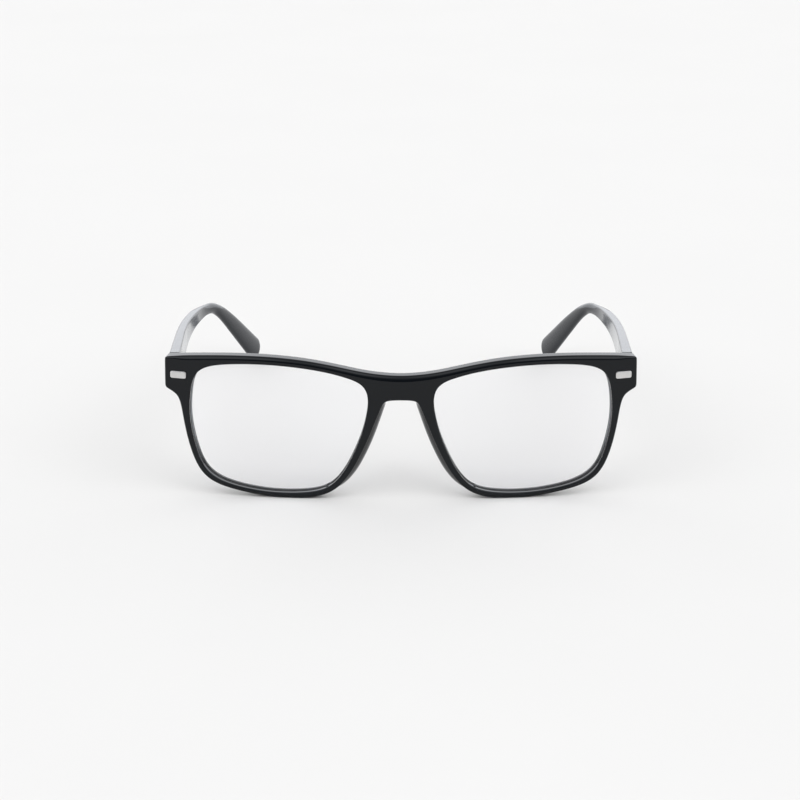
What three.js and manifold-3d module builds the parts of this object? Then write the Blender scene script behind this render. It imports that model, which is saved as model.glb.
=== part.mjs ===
// Full-rim plastic spectacles with clear blue-light lenses, as an assembly of separate pieces.
// Millimetres. +Z is up, the front faces -Y, the temples run back along +Y, and +X is the wearer's left.
// The glasses stand as on a table: on the two lower rims and on the two temple tips, all at Z = 0.
import * as THREE from "three";
import { mergeVertices } from "three/addons/utils/BufferGeometryUtils.js";
import Module from "manifold-3d";

// ------------------------------------------------------------------ driving dimensions
const BEND_RADIUS = 450; // the front is bent round a vertical axis (face-form curve)
const FRONT_THICKNESS = 4.0;
const EDGE_CHAMFER = 0.5; // broken edges of the front
const OUTLINE_TOLERANCE = 0.05; // how closely the faceted outlines follow their curves

// Outer edge of the front, one half, from the middle of the brow to the middle of the bridge's underside: [along the bend, height].
const FRONT_OUTLINE = [
  [0, 39.15], [4, 39.33], [8, 39.75], [12, 40.4], [16, 41.25], [20, 42.1],
  [24, 42.86], [28, 43.5], [32, 43.97], [36, 44.3], [40, 44.52], [44, 44.63],
  [48, 44.65], [52, 44.59], [56, 44.46], [60, 44.29], [64, 44.08], [67.6, 43.88],
  [69.0, 43.72], [69.85, 43.3], [70.22, 42.5], [70.36, 40.6], [70.46, 38.4], [70.53, 36.4],
  [70.55, 35.0], [70.4, 34.15], [69.75, 33.6], [68.7, 33.12], [67.6, 32.3], [66.75, 31.25],
  [66.2, 29.9], [65.87, 28.2], [65.62, 26.2], [65.32, 23.9], [64.93, 21.4], [64.43, 18.7],
  [63.8, 15.9], [63.0, 13.1], [61.95, 10.3], [60.65, 7.85], [58.95, 5.85], [56.4, 4.12],
  [52.8, 2.75], [48.4, 1.65], [44.0, 0.82], [40.0, 0.28], [36.6, 0.0], [33.5, 0.0],
  [30.4, 0.0], [27.4, 0.2], [24.8, 0.72], [22.6, 1.42], [20.7, 2.4], [19.1, 3.55],
  [17.6, 5.05], [16.1, 6.95], [14.5, 9.3], [12.85, 12.4], [11.3, 15.65], [9.85, 18.95],
  [8.6, 22.15], [7.4, 25.3], [6.45, 27.8], [5.65, 29.75], [4.95, 30.85], [3.9, 31.45],
  [2.4, 31.64], [0, 31.66],
];
// Edge of one lens opening (wearer's left), clockwise from the nasal top.
const OPENING_OUTLINE = [
  [16.6, 38.72], [19.2, 39.52], [22.4, 40.26], [25.8, 40.88], [29.3, 41.37], [32.8, 41.74],
  [36.4, 42.03], [40.2, 42.21], [44.0, 42.27], [48.0, 42.18], [51.6, 41.98], [54.8, 41.62],
  [57.6, 41.02], [59.7, 40.12], [61.2, 38.7], [62.08, 36.9], [62.58, 34.8], [62.95, 32.4],
  [63.25, 29.9], [63.4, 27.4], [63.38, 25.0], [63.2, 22.6], [62.85, 20.1], [62.35, 17.6],
  [61.78, 15.3], [61.1, 12.9], [60.2, 10.5], [58.9, 8.3], [57.0, 6.45], [54.4, 4.95],
  [51.0, 3.75], [47.2, 2.84], [43.2, 2.18], [39.2, 1.78], [35.2, 1.66], [31.2, 1.76],
  [27.6, 2.1], [24.6, 2.68], [22.2, 3.55], [20.4, 4.78], [18.8, 6.5], [17.05, 9.0],
  [15.35, 12.1], [13.85, 15.4], [12.5, 18.7], [11.35, 22.0], [10.5, 25.3], [9.95, 28.3],
  [9.68, 31.0], [9.75, 33.2], [10.4, 35.2], [11.75, 36.75], [13.8, 37.85],
];
const GROOVE = { front: 1.3, apex: 2.1, back: 2.9, depth: 0.75 }; // V groove for the lens edge, as depth behind the front face

const LENS = { front: 1.2, thickness: 1.8, bulge: 1.15, clearance: 0.1, bevel: 0.55 };
const LENS_POINTS = 60;
const LENS_RINGS = [0.72, 0.38];

// End piece behind each upper corner, where the temple butts against the front.
const LUG = { x0: 63.7, x1: 69.35, z0: 34.9, z1: 43.1, back: 9.7, r: 0.7 };

const PLAQUE = { along: 66.35, z: 38.2, w: 4.75, h: 2.15, r: 0.4, tilt: 1.9, proud: 0.18, t: 0.6, stud_r: 0.45, stud_x: 1.35, stud_len: 2.0 };
const PLAQUE_GAP = 0.12;

const HINGE = { x: 64.3, y: 11.3, barrel_r: 1.3, bore_r: 0.75, z0: 35.5, barrel: 1.24, gap: 0.1, splay: 3.7 };
const FRONT_LEAF = { x0: 63.45, x1: 68.9, y0: 8.72, y1: 9.62 };
const TEMPLE_LEAF = { x0: 1.72, x1: 2.52, y0: -0.65, y1: 9.6, z0: 36.0, z1: 40.9 };
const LEAF_GAP = 0.12;
const SCREW = { r: 0.65, head_r: 1.1, head: 0.7, slot_w: 0.32, slot_d: 0.35 };

// Centre line of one temple (wearer's left): [x, y, z, section height, section thickness].
const TEMPLE_BUTT_Y = 10.0;
const TEMPLE_PATH = [
  [67.5, 10.0, 39.0, 9.0, 3.2],
  [67.76, 14.0, 38.5, 8.8, 3.15],
  [68.8, 30.0, 36.65, 8.1, 3.0],
  [69.95, 48.0, 34.6, 7.2, 2.8],
  [70.45, 62.0, 33.15, 6.2, 2.7],
  [70.35, 74.0, 31.95, 5.3, 2.7],
  [69.7, 85.0, 30.85, 4.5, 2.7],
  [68.7, 93.0, 29.95, 4.0, 2.75],
  [67.3, 99.0, 29.2, 3.65, 2.8],
  [65.7, 103.6, 28.3, 3.6, 2.85],
  [63.95, 107.3, 26.1, 4.0, 2.9],
  [62.2, 111.2, 22.95, 4.7, 3.0],
  [59.9, 116.6, 18.1, 5.7, 3.1],
  [56.5, 125.0, 10.3, 6.9, 3.2],
  [53.1, 133.4, 2.42, 8.2, 3.2],
];
const TEMPLE_STATIONS = [0, 0.5, 1, 1.5, 2, 3, 4, 5, 6, 7, 7.5, 8, 8.5, 9, 9.33, 9.67, 10, 10.5, 11, 12, 13, 13.4, 13.7, 13.87, 13.96, 14];
const TEMPLE_CORNER = 0.55; // corner radius of the section
const TIP_ROUND = 3.2; // length over which the end of the tip rounds off
const TIP_WIDTH_ROUND = 1.3;
const WIRE = { r: 0.58, channel_r: 0.72, start: 0.4, end: 12.6 };

// Nose pad: height on the rim -> [how far it stands towards the nose, how far back it reaches].
const PAD_STATIONS = [
  [30.2, 0.5, 4.6], [29.2, 0.75, 4.95], [27.4, 0.92, 5.7], [24.8, 1.02, 6.7], [21.8, 1.06, 7.5],
  [18.8, 1.1, 7.9], [15.8, 1.12, 7.9], [12.8, 1.15, 7.5], [10.0, 1.15, 6.9], [7.6, 1.1, 6.2],
  [5.8, 1.0, 5.6], [4.6, 0.82, 5.1], [3.8, 0.55, 4.75],
];
const PAD = { gap: 0.12, front: 1.0, crest: 3.6, splay: 0.3, thickness: 1.75, inset: 1.7 };

// ------------------------------------------------------------------ helpers
const wasm = await Module();
wasm.setup();

const bend = (s, z, d) => {
  const a = s / BEND_RADIUS,
    r = BEND_RADIUS - d;
  return [r * Math.sin(a), BEND_RADIUS - r * Math.cos(a), z];
};

function geometryOf(vertices, faces) {
  const g = new THREE.BufferGeometry();
  g.setAttribute("position", new THREE.BufferAttribute(new Float32Array(vertices.flat()), 3));
  g.setIndex(faces.flat());
  return g;
}

function solid(geometry) {
  const bare = geometry.clone();
  bare.deleteAttribute("normal");
  bare.deleteAttribute("uv");
  const merged = mergeVertices(bare, 1e-4);
  return new wasm.Manifold(
    new wasm.Mesh({
      numProp: 3,
      vertProperties: new Float32Array(merged.attributes.position.array),
      triVerts: new Uint32Array(merged.index.array),
    }),
  );
}

function geometryOfSolid(s) {
  const m = s.getMesh(),
    v = [];
  for (let i = 0; i < m.numVert; i++) v.push([...m.vertProperties.subarray(i * m.numProp, i * m.numProp + 3)]);
  return geometryOf(v, [Array.from(m.triVerts)]);
}

function mirrored(geometry) {
  const g = geometry.clone();
  g.scale(-1, 1, 1);
  const index = Array.from(g.index.array);
  for (let i = 0; i < index.length; i += 3) [index[i + 1], index[i + 2]] = [index[i + 2], index[i + 1]];
  g.setIndex(index);
  return g;
}

// Points of a closed curve through control points, evenly spaced and lightly smoothed.
function closedCurve(points, spacing, passes) {
  const curve = new THREE.CatmullRomCurve3(points.map(([s, z]) => new THREE.Vector3(s, z, 0)), true, "centripetal");
  curve.arcLengthDivisions = 6000;
  const n = 2 * Math.round(curve.getLength() / spacing / 2);
  let out = curve.getSpacedPoints(n).slice(0, n).map((p) => [p.x, p.y]);
  for (let k = 0; k < passes; k++)
    out = out.map((p, i) => {
      const a = out[(i + n - 1) % n],
        b = out[(i + 1) % n];
      return [(a[0] + 2 * p[0] + b[0]) / 4, (a[1] + 2 * p[1] + b[1]) / 4];
    });
  return out;
}

// Unit normals pointing to the right of the direction of travel.
function normalsOf(points) {
  const n = points.length;
  return points.map((p, i) => {
    const a = points[(i + n - 1) % n],
      b = points[(i + 1) % n],
      dx = b[0] - a[0],
      dz = b[1] - a[1],
      l = Math.hypot(dx, dz);
    return [dz / l, -dx / l];
  });
}

// Indices of an open run of points that keep it within a tolerance (Douglas-Peucker).
function keep(points, first, last, tolerance, out) {
  const [ax, ay] = points[first],
    [bx, by] = points[last],
    l = Math.hypot(bx - ax, by - ay) || 1;
  let worst = -1,
    at = -1;
  for (let i = first + 1; i < last; i++) {
    const d = Math.abs((bx - ax) * (points[i][1] - ay) - (by - ay) * (points[i][0] - ax)) / l;
    if (d > worst) [worst, at] = [d, i];
  }
  if (worst > tolerance || last - first > 44) {
    if (at < 0) at = (first + last) >> 1;
    keep(points, first, at, tolerance, out);
    keep(points, at, last, tolerance, out);
  } else out.push(last);
  return out;
}

// The side wall between two rings of points that run anticlockwise as seen from the front.
function wall(faces, a, b, n, flip) {
  for (let i = 0; i < n; i++) {
    const j = (i + 1) % n;
    const quad = [[a + i, b + i, b + j], [a + i, b + j, a + j]];
    for (const f of quad) faces.push(flip ? [f[0], f[2], f[1]] : f);
  }
}

function extruded(shape, depth, segments = 4) {
  return new THREE.ExtrudeGeometry(shape, { depth, bevelEnabled: false, curveSegments: segments });
}

function roundedRectangle(w, h, r) {
  const s = new THREE.Shape();
  s.moveTo(-w / 2 + r, -h / 2);
  s.lineTo(w / 2 - r, -h / 2);
  s.absarc(w / 2 - r, -h / 2 + r, r, -Math.PI / 2, 0, false);
  s.lineTo(w / 2, h / 2 - r);
  s.absarc(w / 2 - r, h / 2 - r, r, 0, Math.PI / 2, false);
  s.lineTo(-w / 2 + r, h / 2);
  s.absarc(-w / 2 + r, h / 2 - r, r, Math.PI / 2, Math.PI, false);
  s.lineTo(-w / 2, -h / 2 + r);
  s.absarc(-w / 2 + r, -h / 2 + r, r, Math.PI, 1.5 * Math.PI, false);
  return s;
}

function box(x0, x1, y0, y1, z0, z1) {
  const g = new THREE.BoxGeometry(x1 - x0, y1 - y0, z1 - z0);
  g.translate((x0 + x1) / 2, (y0 + y1) / 2, (z0 + z1) / 2);
  return g;
}

function post(x, y, z0, z1, r, sides) {
  const g = new THREE.CylinderGeometry(r, r, z1 - z0, sides);
  g.rotateX(Math.PI / 2);
  g.translate(x, y, (z0 + z1) / 2);
  return g;
}

// ------------------------------------------------------------------ outlines
// The front's outline runs anticlockwise seen from the front once reversed; both halves share the same vertices.
function frontOutline() {
  const full = [...FRONT_OUTLINE, ...FRONT_OUTLINE.slice(1, -1).reverse().map(([s, z]) => [-s, z])];
  const dense = closedCurve(full, 0.25, 3),
    n = dense.length;
  for (let i = 0; i <= n / 2; i++) {
    const j = (n - i) % n,
      s = (dense[i][0] - dense[j][0]) / 2,
      z = Math.max(0, (dense[i][1] + dense[j][1]) / 2);
    dense[i] = [s, z];
    dense[j] = [-s, z];
  }
  const normals = normalsOf(dense).map(([a, b]) => [-a, -b]); // travelling clockwise, outwards is to the left
  const kept = [0, ...keep(dense, 0, n / 2, OUTLINE_TOLERANCE, [])];
  const half = kept.map((i) => ({ p: dense[i], n: normals[i] }));
  const other = half.slice(1, -1).reverse().map(({ p, n: m }) => ({ p: [-p[0], p[1]], n: [-m[0], m[1]] }));
  return { ring: [...half, ...other].reverse(), dense: dense.slice(0, n / 2 + 1), normals: normals.slice(0, n / 2 + 1) };
}

// A lens opening, anticlockwise, with normals pointing out of the opening into the rim.
function openingOutline() {
  const dense = closedCurve(OPENING_OUTLINE, 0.25, 6).reverse(),
    n = dense.length,
    normals = normalsOf(dense),
    kept = [0, ...keep(dense, 0, n / 2, OUTLINE_TOLERANCE, []), ...keep(dense, n / 2, n - 1, OUTLINE_TOLERANCE, [])];
  return { ring: kept.map((i) => ({ p: dense[i], n: normals[i] })), dense, normals };
}

const outline = frontOutline();
const opening = openingOutline();

const at = ({ p, n }, offset, d) => bend(p[0] + offset * n[0], p[1] + offset * n[1], d);
const flip = ({ p, n }) => ({ p: [-p[0], p[1]], n: [-n[0], n[1]] });

// ------------------------------------------------------------------ front
function frontBlank() {
  const vertices = [],
    faces = [];
  const outer = outline.ring,
    T = FRONT_THICKNESS,
    c = EDGE_CHAMFER,
    g = GROOVE;
  const outerLevels = [[-c, 0], [0, c], [0, T - c], [-c, T]],
    holeLevels = [[0, 0], [0, g.front], [g.depth, g.apex], [0, g.back], [0, T]];
  const put = (ring, offset, d) => {
    const first = vertices.length;
    for (const q of ring) vertices.push(at(q, offset, d));
    return first;
  };
  const o = outerLevels.map(([offset, d]) => put(outer, offset, d));
  for (let k = 0; k + 1 < o.length; k++) wall(faces, o[k], o[k + 1], outer.length, false);
  const rings = [opening.ring, opening.ring.map(flip).reverse()];
  const h = rings.map((ring) => holeLevels.map(([offset, d]) => put(ring, offset, d)));
  h.forEach((levels, k) => {
    for (let i = 0; i + 1 < levels.length; i++) wall(faces, levels[i], levels[i + 1], rings[k].length, true);
  });
  const cap = (level, holeLevel, offset, holeOffset, reverse) => {
    const flat = (ring, e) => ring.map(({ p, n }) => new THREE.Vector2(p[0] + e * n[0], p[1] + e * n[1]));
    const tris = THREE.ShapeUtils.triangulateShape(flat(outer, offset), rings.map((r) => flat(r, holeOffset)));
    const index = [...outer.keys()].map((i) => o[level] + i);
    rings.forEach((r, k) => index.push(...[...r.keys()].map((i) => h[k][holeLevel] + i)));
    for (const t of tris) {
      const [a, b, e] = t.map((i) => index[i]);
      faces.push(reverse ? [a, e, b] : [a, b, e]);
    }
  };
  cap(0, 0, -c, 0, false);
  cap(o.length - 1, holeLevels.length - 1, -c, 0, true);
  return solid(geometryOf(vertices, faces));
}

// The plaque's seat: x along the bend, y into the front, z up.
function plaqueFrame(side) {
  const a = (side * PLAQUE.along) / BEND_RADIUS,
    [x, y, z] = bend(side * PLAQUE.along, PLAQUE.z, 0);
  const m = new THREE.Matrix4().makeRotationZ(a);
  m.setPosition(x, y, z);
  return m.multiply(new THREE.Matrix4().makeRotationY(-side * THREE.MathUtils.degToRad(PLAQUE.tilt)));
}

// A rounded plate with two studs behind it, grown by a clearance on every side for its seat.
function plaqueSolid(side, grow) {
  const m = plaqueFrame(side);
  const slab = extruded(roundedRectangle(PLAQUE.w + 2 * grow, PLAQUE.h + 2 * grow, PLAQUE.r + grow), PLAQUE.t + (grow ? grow + 1 : 0), 3);
  slab.rotateX(Math.PI / 2); // extruded towards -y
  slab.translate(0, PLAQUE.t - PLAQUE.proud + grow, 0);
  let s = solid(slab.applyMatrix4(m));
  for (const x of [-PLAQUE.stud_x, PLAQUE.stud_x]) {
    const stud = new THREE.CylinderGeometry(PLAQUE.stud_r + grow, PLAQUE.stud_r + grow, PLAQUE.stud_len + 0.2 + grow, 10);
    stud.translate(x, (PLAQUE.stud_len + 0.2 + grow) / 2 + PLAQUE.t - PLAQUE.proud - 0.2, 0);
    s = s.add(solid(stud.applyMatrix4(m)));
  }
  return s;
}

function lug() {
  const w = LUG.x1 - LUG.x0,
    h = LUG.z1 - LUG.z0,
    g = extruded(roundedRectangle(w, h, LUG.r), LUG.back - 7.2, 3);
  g.rotateX(Math.PI / 2);
  g.translate(LUG.x0 + w / 2, LUG.back, LUG.z0 + h / 2);
  return g;
}

const barrelZ = (k) => HINGE.z0 + k * (HINGE.barrel + HINGE.gap);
const STACK_TOP = barrelZ(4) + HINGE.barrel;

function frontFrame() {
  let s = frontBlank();
  const end = lug(),
    pocket = box(LUG.x0 - 1, FRONT_LEAF.x1 + LEAF_GAP, FRONT_LEAF.y0 - LEAF_GAP, LUG.back + 1, HINGE.z0 - LEAF_GAP, STACK_TOP + LEAF_GAP);
  for (const side of [1, -1]) {
    const put = (g) => solid(side > 0 ? g : mirrored(mergeVertices(stripped(g), 1e-4)));
    s = s.add(put(end)).subtract(put(pocket)).subtract(plaqueSolid(side, PLAQUE_GAP));
  }
  return geometryOfSolid(s);
}

function stripped(g) {
  const bare = g.clone();
  bare.deleteAttribute("normal");
  bare.deleteAttribute("uv");
  return bare;
}

// ------------------------------------------------------------------ lens
function lens() {
  const dense = opening.dense,
    normals = opening.normals,
    n = dense.length,
    edge = [...Array(LENS_POINTS).keys()].map((i) => {
      const k = Math.round((i * n) / LENS_POINTS) % n;
      return { p: dense[k], n: normals[k] };
    });
  const cx = edge.reduce((t, q) => t + q.p[0], 0) / LENS_POINTS,
    cz = edge.reduce((t, q) => t + q.p[1], 0) / LENS_POINTS;
  const vertices = [],
    faces = [],
    back = LENS.front + LENS.thickness;
  const ringAt = (offset, d) => {
    const first = vertices.length;
    for (const q of edge) vertices.push(at(q, offset, d));
    return first;
  };
  const inner = (share, d0) => {
    const first = vertices.length;
    for (const { p, n: m } of edge) {
      const s = p[0] - LENS.clearance * m[0],
        z = p[1] - LENS.clearance * m[1];
      vertices.push(bend(cx + share * (s - cx), cz + share * (z - cz), d0 - LENS.bulge * (1 - share * share)));
    }
    return first;
  };
  const middle = (d0) => vertices.push(bend(cx, cz, d0 - LENS.bulge)) - 1;
  const c = LENS.clearance,
    levels = [
      ...[...LENS_RINGS].reverse().map((k) => inner(k, LENS.front)),
      ringAt(-c, LENS.front),
      ringAt(-c, LENS.front + 0.25),
      ringAt(LENS.bevel, GROOVE.apex),
      ringAt(-c, back - 0.25),
      ringAt(-c, back),
      ...LENS_RINGS.map((k) => inner(k, back)),
    ];
  for (let k = 0; k + 1 < levels.length; k++) wall(faces, levels[k], levels[k + 1], LENS_POINTS, false);
  const front = middle(LENS.front),
    rear = middle(back),
    a = levels[0],
    b = levels[levels.length - 1];
  for (let i = 0; i < LENS_POINTS; i++) {
    const j = (i + 1) % LENS_POINTS;
    faces.push([front, a + i, a + j], [rear, b + j, b + i]);
  }
  return geometryOf(vertices, faces);
}

// ------------------------------------------------------------------ lofts along stations
function loft(sections) {
  const n = sections[0].length,
    vertices = sections.flat(),
    faces = [];
  for (let k = 0; k + 1 < sections.length; k++)
    for (let i = 0; i < n; i++) {
      const j = (i + 1) % n,
        a = k * n,
        b = a + n;
      faces.push([a + i, a + j, b + j], [a + i, b + j, b + i]);
    }
  const cap = (section, first, reverse) => {
    const [o] = section,
      u = new THREE.Vector3(),
      e = section.map((p) => new THREE.Vector3(...p)),
      normal = new THREE.Vector3();
    for (let i = 0; i < n; i++) normal.add(u.crossVectors(e[i].clone().sub(e[0]), e[(i + 1) % n].clone().sub(e[0])));
    normal.normalize();
    const x = e[1].clone().sub(e[0]).normalize(),
      y = new THREE.Vector3().crossVectors(normal, x),
      flat = e.map((p) => new THREE.Vector2(p.clone().sub(new THREE.Vector3(...o)).dot(x), p.clone().sub(new THREE.Vector3(...o)).dot(y)));
    for (const [i, j, k] of THREE.ShapeUtils.triangulateShape(flat, []))
      faces.push(reverse ? [first + i, first + k, first + j] : [first + i, first + j, first + k]);
  };
  cap(sections[0], 0, true);
  cap(sections[sections.length - 1], (sections.length - 1) * n, false);
  let s = solid(geometryOf(vertices, faces));
  if (s.volume() < 0) s = solid(geometryOf(vertices, faces.map(([a, b, c]) => [a, c, b])));
  return s;
}

// ------------------------------------------------------------------ nose pad
function nosePad() {
  const { dense, normals } = outline;
  const sections = PAD_STATIONS.map(([z, p, reach]) => {
    let k = 0,
      best = 1e9;
    dense.forEach(([s, h], i) => {
      if (s < 21 && h < 31 && Math.abs(h - z) < best) [best, k] = [Math.abs(h - z), i];
    });
    const q = { p: dense[k], n: normals[k] },
      back = FRONT_THICKNESS + PAD.gap,
      crest = PAD.crest,
      run = reach - crest,
      tip = p - PAD.splay * run * 0.92,
      inside = Math.max(-PAD.inset, Math.min(-0.75, tip - PAD.thickness));
    const section = [
      [PAD.gap, PAD.front],
      [0.42 * p + 0.07, 1.7],
      [0.78 * p, 2.5],
      [p, crest],
      [p - PAD.splay * run * 0.33, crest + run * 0.35],
      [p - PAD.splay * run * 0.68, crest + run * 0.7],
      [tip, crest + run * 0.93],
      [tip - 0.5, reach],
      [tip - 1.1, reach - 0.12 * run],
      [inside, Math.max(back + 0.12, reach - 0.3 * run)],
      [-0.75, back],
      [PAD.gap, back],
    ];
    // the contact face stays clear of the rim's back corner where the pad runs out
    return section.map(([offset, d], i) => at(q, i > 2 && i < 6 && d < back + 0.4 ? Math.max(offset, PAD.gap + 0.2) : offset, d));
  });
  return geometryOfSolid(loft(sections));
}

// ------------------------------------------------------------------ temple and its core wire
const pathCurve = new THREE.CatmullRomCurve3(TEMPLE_PATH.map(([x, y, z]) => new THREE.Vector3(x, y, z)), false, "centripetal");
const sizeCurve = new THREE.CatmullRomCurve3(TEMPLE_PATH.map(([, , , h, w]) => new THREE.Vector3(h, w, 0)), false, "catmullrom", 0.5);

// Centre, axes and size of the temple's section at a station; the first sections stay square to Y, as the butt end is cut.
function sectionAt(station) {
  const t = Math.min(1, Math.max(0, station / (TEMPLE_PATH.length - 1))),
    c = pathCurve.getPoint(t),
    tangent = pathCurve.getTangent(t),
    size = sizeCurve.getPoint(t);
  const blend = Math.min(1, station / 1.5);
  tangent.lerp(new THREE.Vector3(0, 1, 0), 1 - blend).normalize();
  const side = new THREE.Vector3().crossVectors(tangent, new THREE.Vector3(0, 0, 1)).normalize(),
    up = new THREE.Vector3().crossVectors(side, tangent).normalize();
  return { c, side, up, h: size.x, w: size.y };
}

function templeLength(station) {
  const t = station / (TEMPLE_PATH.length - 1);
  return pathCurve.getLength() * t;
}

function templeSections() {
  const end = pathCurve.getPoint(1);
  return TEMPLE_STATIONS.map((station) => {
    const { c, side, up, h, w } = sectionAt(station);
    const left = Math.max(0, 1 - c.distanceTo(end) / TIP_ROUND),
      leftW = Math.max(0, 1 - c.distanceTo(end) / TIP_WIDTH_ROUND),
      hh = h * (0.56 + 0.44 * Math.sqrt(1 - left * left)),
      ww = w * (0.5 + 0.5 * Math.sqrt(1 - leftW * leftW)),
      r = Math.min(TEMPLE_CORNER, ww * 0.42);
    const out = [];
    for (const [sx, sz, a0] of [[1, -1, -90], [1, 1, 0], [-1, 1, 90], [-1, -1, 180]])
      for (const da of [8, 82]) {
        const a = THREE.MathUtils.degToRad(a0 + da),
          x = sx * (ww / 2 - r) + r * Math.cos(a),
          z = sz * (hh / 2 - r) + r * Math.sin(a) - (h - hh) * 0.22;
        out.push([c.x + x * side.x + z * up.x, c.y + x * side.y + z * up.y, c.z + x * side.z + z * up.z]);
      }
    return out;
  });
}

function rod(r, stations, sides) {
  return loft(
    stations.map((station) => {
      const { c, side, up } = sectionAt(Math.max(0, station));
      const back = station < 0 ? station * 4 : 0;
      return [...Array(sides).keys()].map((i) => {
        const a = ((i + 0.5) / sides) * 2 * Math.PI,
          x = r * Math.cos(a),
          z = r * Math.sin(a);
        return [c.x + x * side.x + z * up.x, c.y + x * side.y + z * up.y + back, c.z + x * side.z + z * up.z];
      });
    }),
  );
}

const hingeFrame = new THREE.Matrix4().makeRotationZ(-THREE.MathUtils.degToRad(HINGE.splay)).setPosition(HINGE.x, HINGE.y, 0);

function temple() {
  let s = loft(templeSections());
  s = s.subtract(rod(WIRE.channel_r, [-0.3, ...TEMPLE_STATIONS.filter((k) => k < WIRE.end + 0.3)], 8));
  const L = TEMPLE_LEAF,
    g = LEAF_GAP,
    recess = box(L.x0 - 1.5, L.x1 + g, -4, L.y1 + g, L.z0 - g, L.z1 + g);
  s = s.subtract(solid(recess.applyMatrix4(hingeFrame)));
  return geometryOfSolid(s);
}

function coreWire() {
  return geometryOfSolid(rod(WIRE.r, [WIRE.start, ...TEMPLE_STATIONS.filter((k) => k > WIRE.start + 0.05 && k < WIRE.end)], 8));
}

// ------------------------------------------------------------------ hinge
function barrel(k, x, y) {
  return solid(post(x, y, barrelZ(k), barrelZ(k) + HINGE.barrel, HINGE.barrel_r, 20));
}

function frontHingeLeaf() {
  const F = FRONT_LEAF;
  let s = solid(box(F.x0, F.x1, F.y0, F.y1, HINGE.z0, STACK_TOP));
  for (const k of [0, 2, 4])
    s = s
      .add(barrel(k, HINGE.x, HINGE.y))
      .add(solid(box(HINGE.x - 0.85, HINGE.x + 0.85, F.y1 - 0.4, HINGE.y, barrelZ(k), barrelZ(k) + HINGE.barrel)));
  return geometryOfSolid(s.subtract(solid(post(HINGE.x, HINGE.y, 30, 48, HINGE.bore_r, 16))));
}

function templeHingeLeaf() {
  const L = TEMPLE_LEAF;
  let s = solid(box(L.x0, L.x1, L.y0, L.y1, L.z0, L.z1).applyMatrix4(hingeFrame));
  for (const k of [1, 3])
    s = s
      .add(barrel(k, HINGE.x, HINGE.y))
      .add(solid(box(0, L.x0 + 0.4, -0.65, 0.65, barrelZ(k), barrelZ(k) + HINGE.barrel).applyMatrix4(hingeFrame)));
  return geometryOfSolid(s.subtract(solid(post(HINGE.x, HINGE.y, 30, 48, HINGE.bore_r, 16))));
}

function hingeScrew() {
  const top = STACK_TOP + 0.1,
    profile = [
      [0, HINGE.z0 - 0.3], [SCREW.r - 0.15, HINGE.z0 - 0.3], [SCREW.r, HINGE.z0 - 0.1], [SCREW.r, top],
      [SCREW.head_r, top], [SCREW.head_r, top + SCREW.head * 0.6], [SCREW.head_r * 0.8, top + SCREW.head], [0, top + SCREW.head],
    ];
  const g = new THREE.LatheGeometry(profile.map(([x, z]) => new THREE.Vector2(x, z)), 16);
  g.rotateX(Math.PI / 2);
  g.translate(HINGE.x, HINGE.y, 0);
  const slot = box(-2, 2, -SCREW.slot_w / 2, SCREW.slot_w / 2, top + SCREW.head - SCREW.slot_d, top + SCREW.head + 1);
  slot.rotateZ(0.5);
  slot.translate(HINGE.x, HINGE.y, 0);
  let s = solid(g);
  if (s.volume() < 0) throw new Error("screw profile runs the wrong way");
  return geometryOfSolid(s.subtract(solid(slot)));
}

// ------------------------------------------------------------------ assembly
const MATERIALS = {
  plastic: { color: 0x17181b, roughness: 0.16, metalness: 0 },
  lens: { color: 0xf2f5fb, roughness: 0.03, metalness: 0, transparent: true, opacity: 0.25 },
  plaque: { color: 0xd2cfce, roughness: 0.34, metalness: 1 },
  steel: { color: 0xb4b5b8, roughness: 0.25, metalness: 1 },
  wire: { color: 0x9d9ea2, roughness: 0.35, metalness: 1 },
};

const glasses = new THREE.Group();
const front = new THREE.Group(),
  temples = { left: new THREE.Group(), right: new THREE.Group() };
glasses.add(front, temples.left, temples.right);

function add(group, name, geometry, material) {
  geometry.computeVertexNormals();
  const mesh = new THREE.Mesh(geometry, new THREE.MeshStandardMaterial({ ...MATERIALS[material], flatShading: true }));
  mesh.name = name;
  group.add(mesh);
}

add(front, "front_frame", frontFrame(), "plastic");
const pairs = [
  [front, "lens", lens(), "lens"],
  [front, "nose_pad", nosePad(), "plastic"],
  [front, "front_hinge_leaf", frontHingeLeaf(), "steel"],
  [front, "hinge_screw", hingeScrew(), "steel"],
  [null, "temple", temple(), "plastic"],
  [null, "core_wire", coreWire(), "wire"],
  [null, "temple_hinge_leaf", templeHingeLeaf(), "steel"],
];
for (const [group, name, geometry, material] of pairs) {
  add(group || temples.left, "left_" + name, geometry, material);
  add(group || temples.right, "right_" + name, mirrored(geometry), material);
}
for (const [name, side] of [["left", 1], ["right", -1]])
  add(front, name + "_front_plaque", geometryOfSolid(plaqueSolid(side, 0)), "plaque");

// The origin is the middle of the footprint, at the height of the surface the glasses stand on.
const extent = new THREE.Box3().setFromObject(glasses);
glasses.position.set(0, -(extent.min.y + extent.max.y) / 2, -extent.min.z);

export default glasses;
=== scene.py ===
import math

import bmesh
import bpy
import numpy as np
from mathutils import Matrix, Vector
from mathutils.geometry import delaunay_2d_cdt


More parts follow.
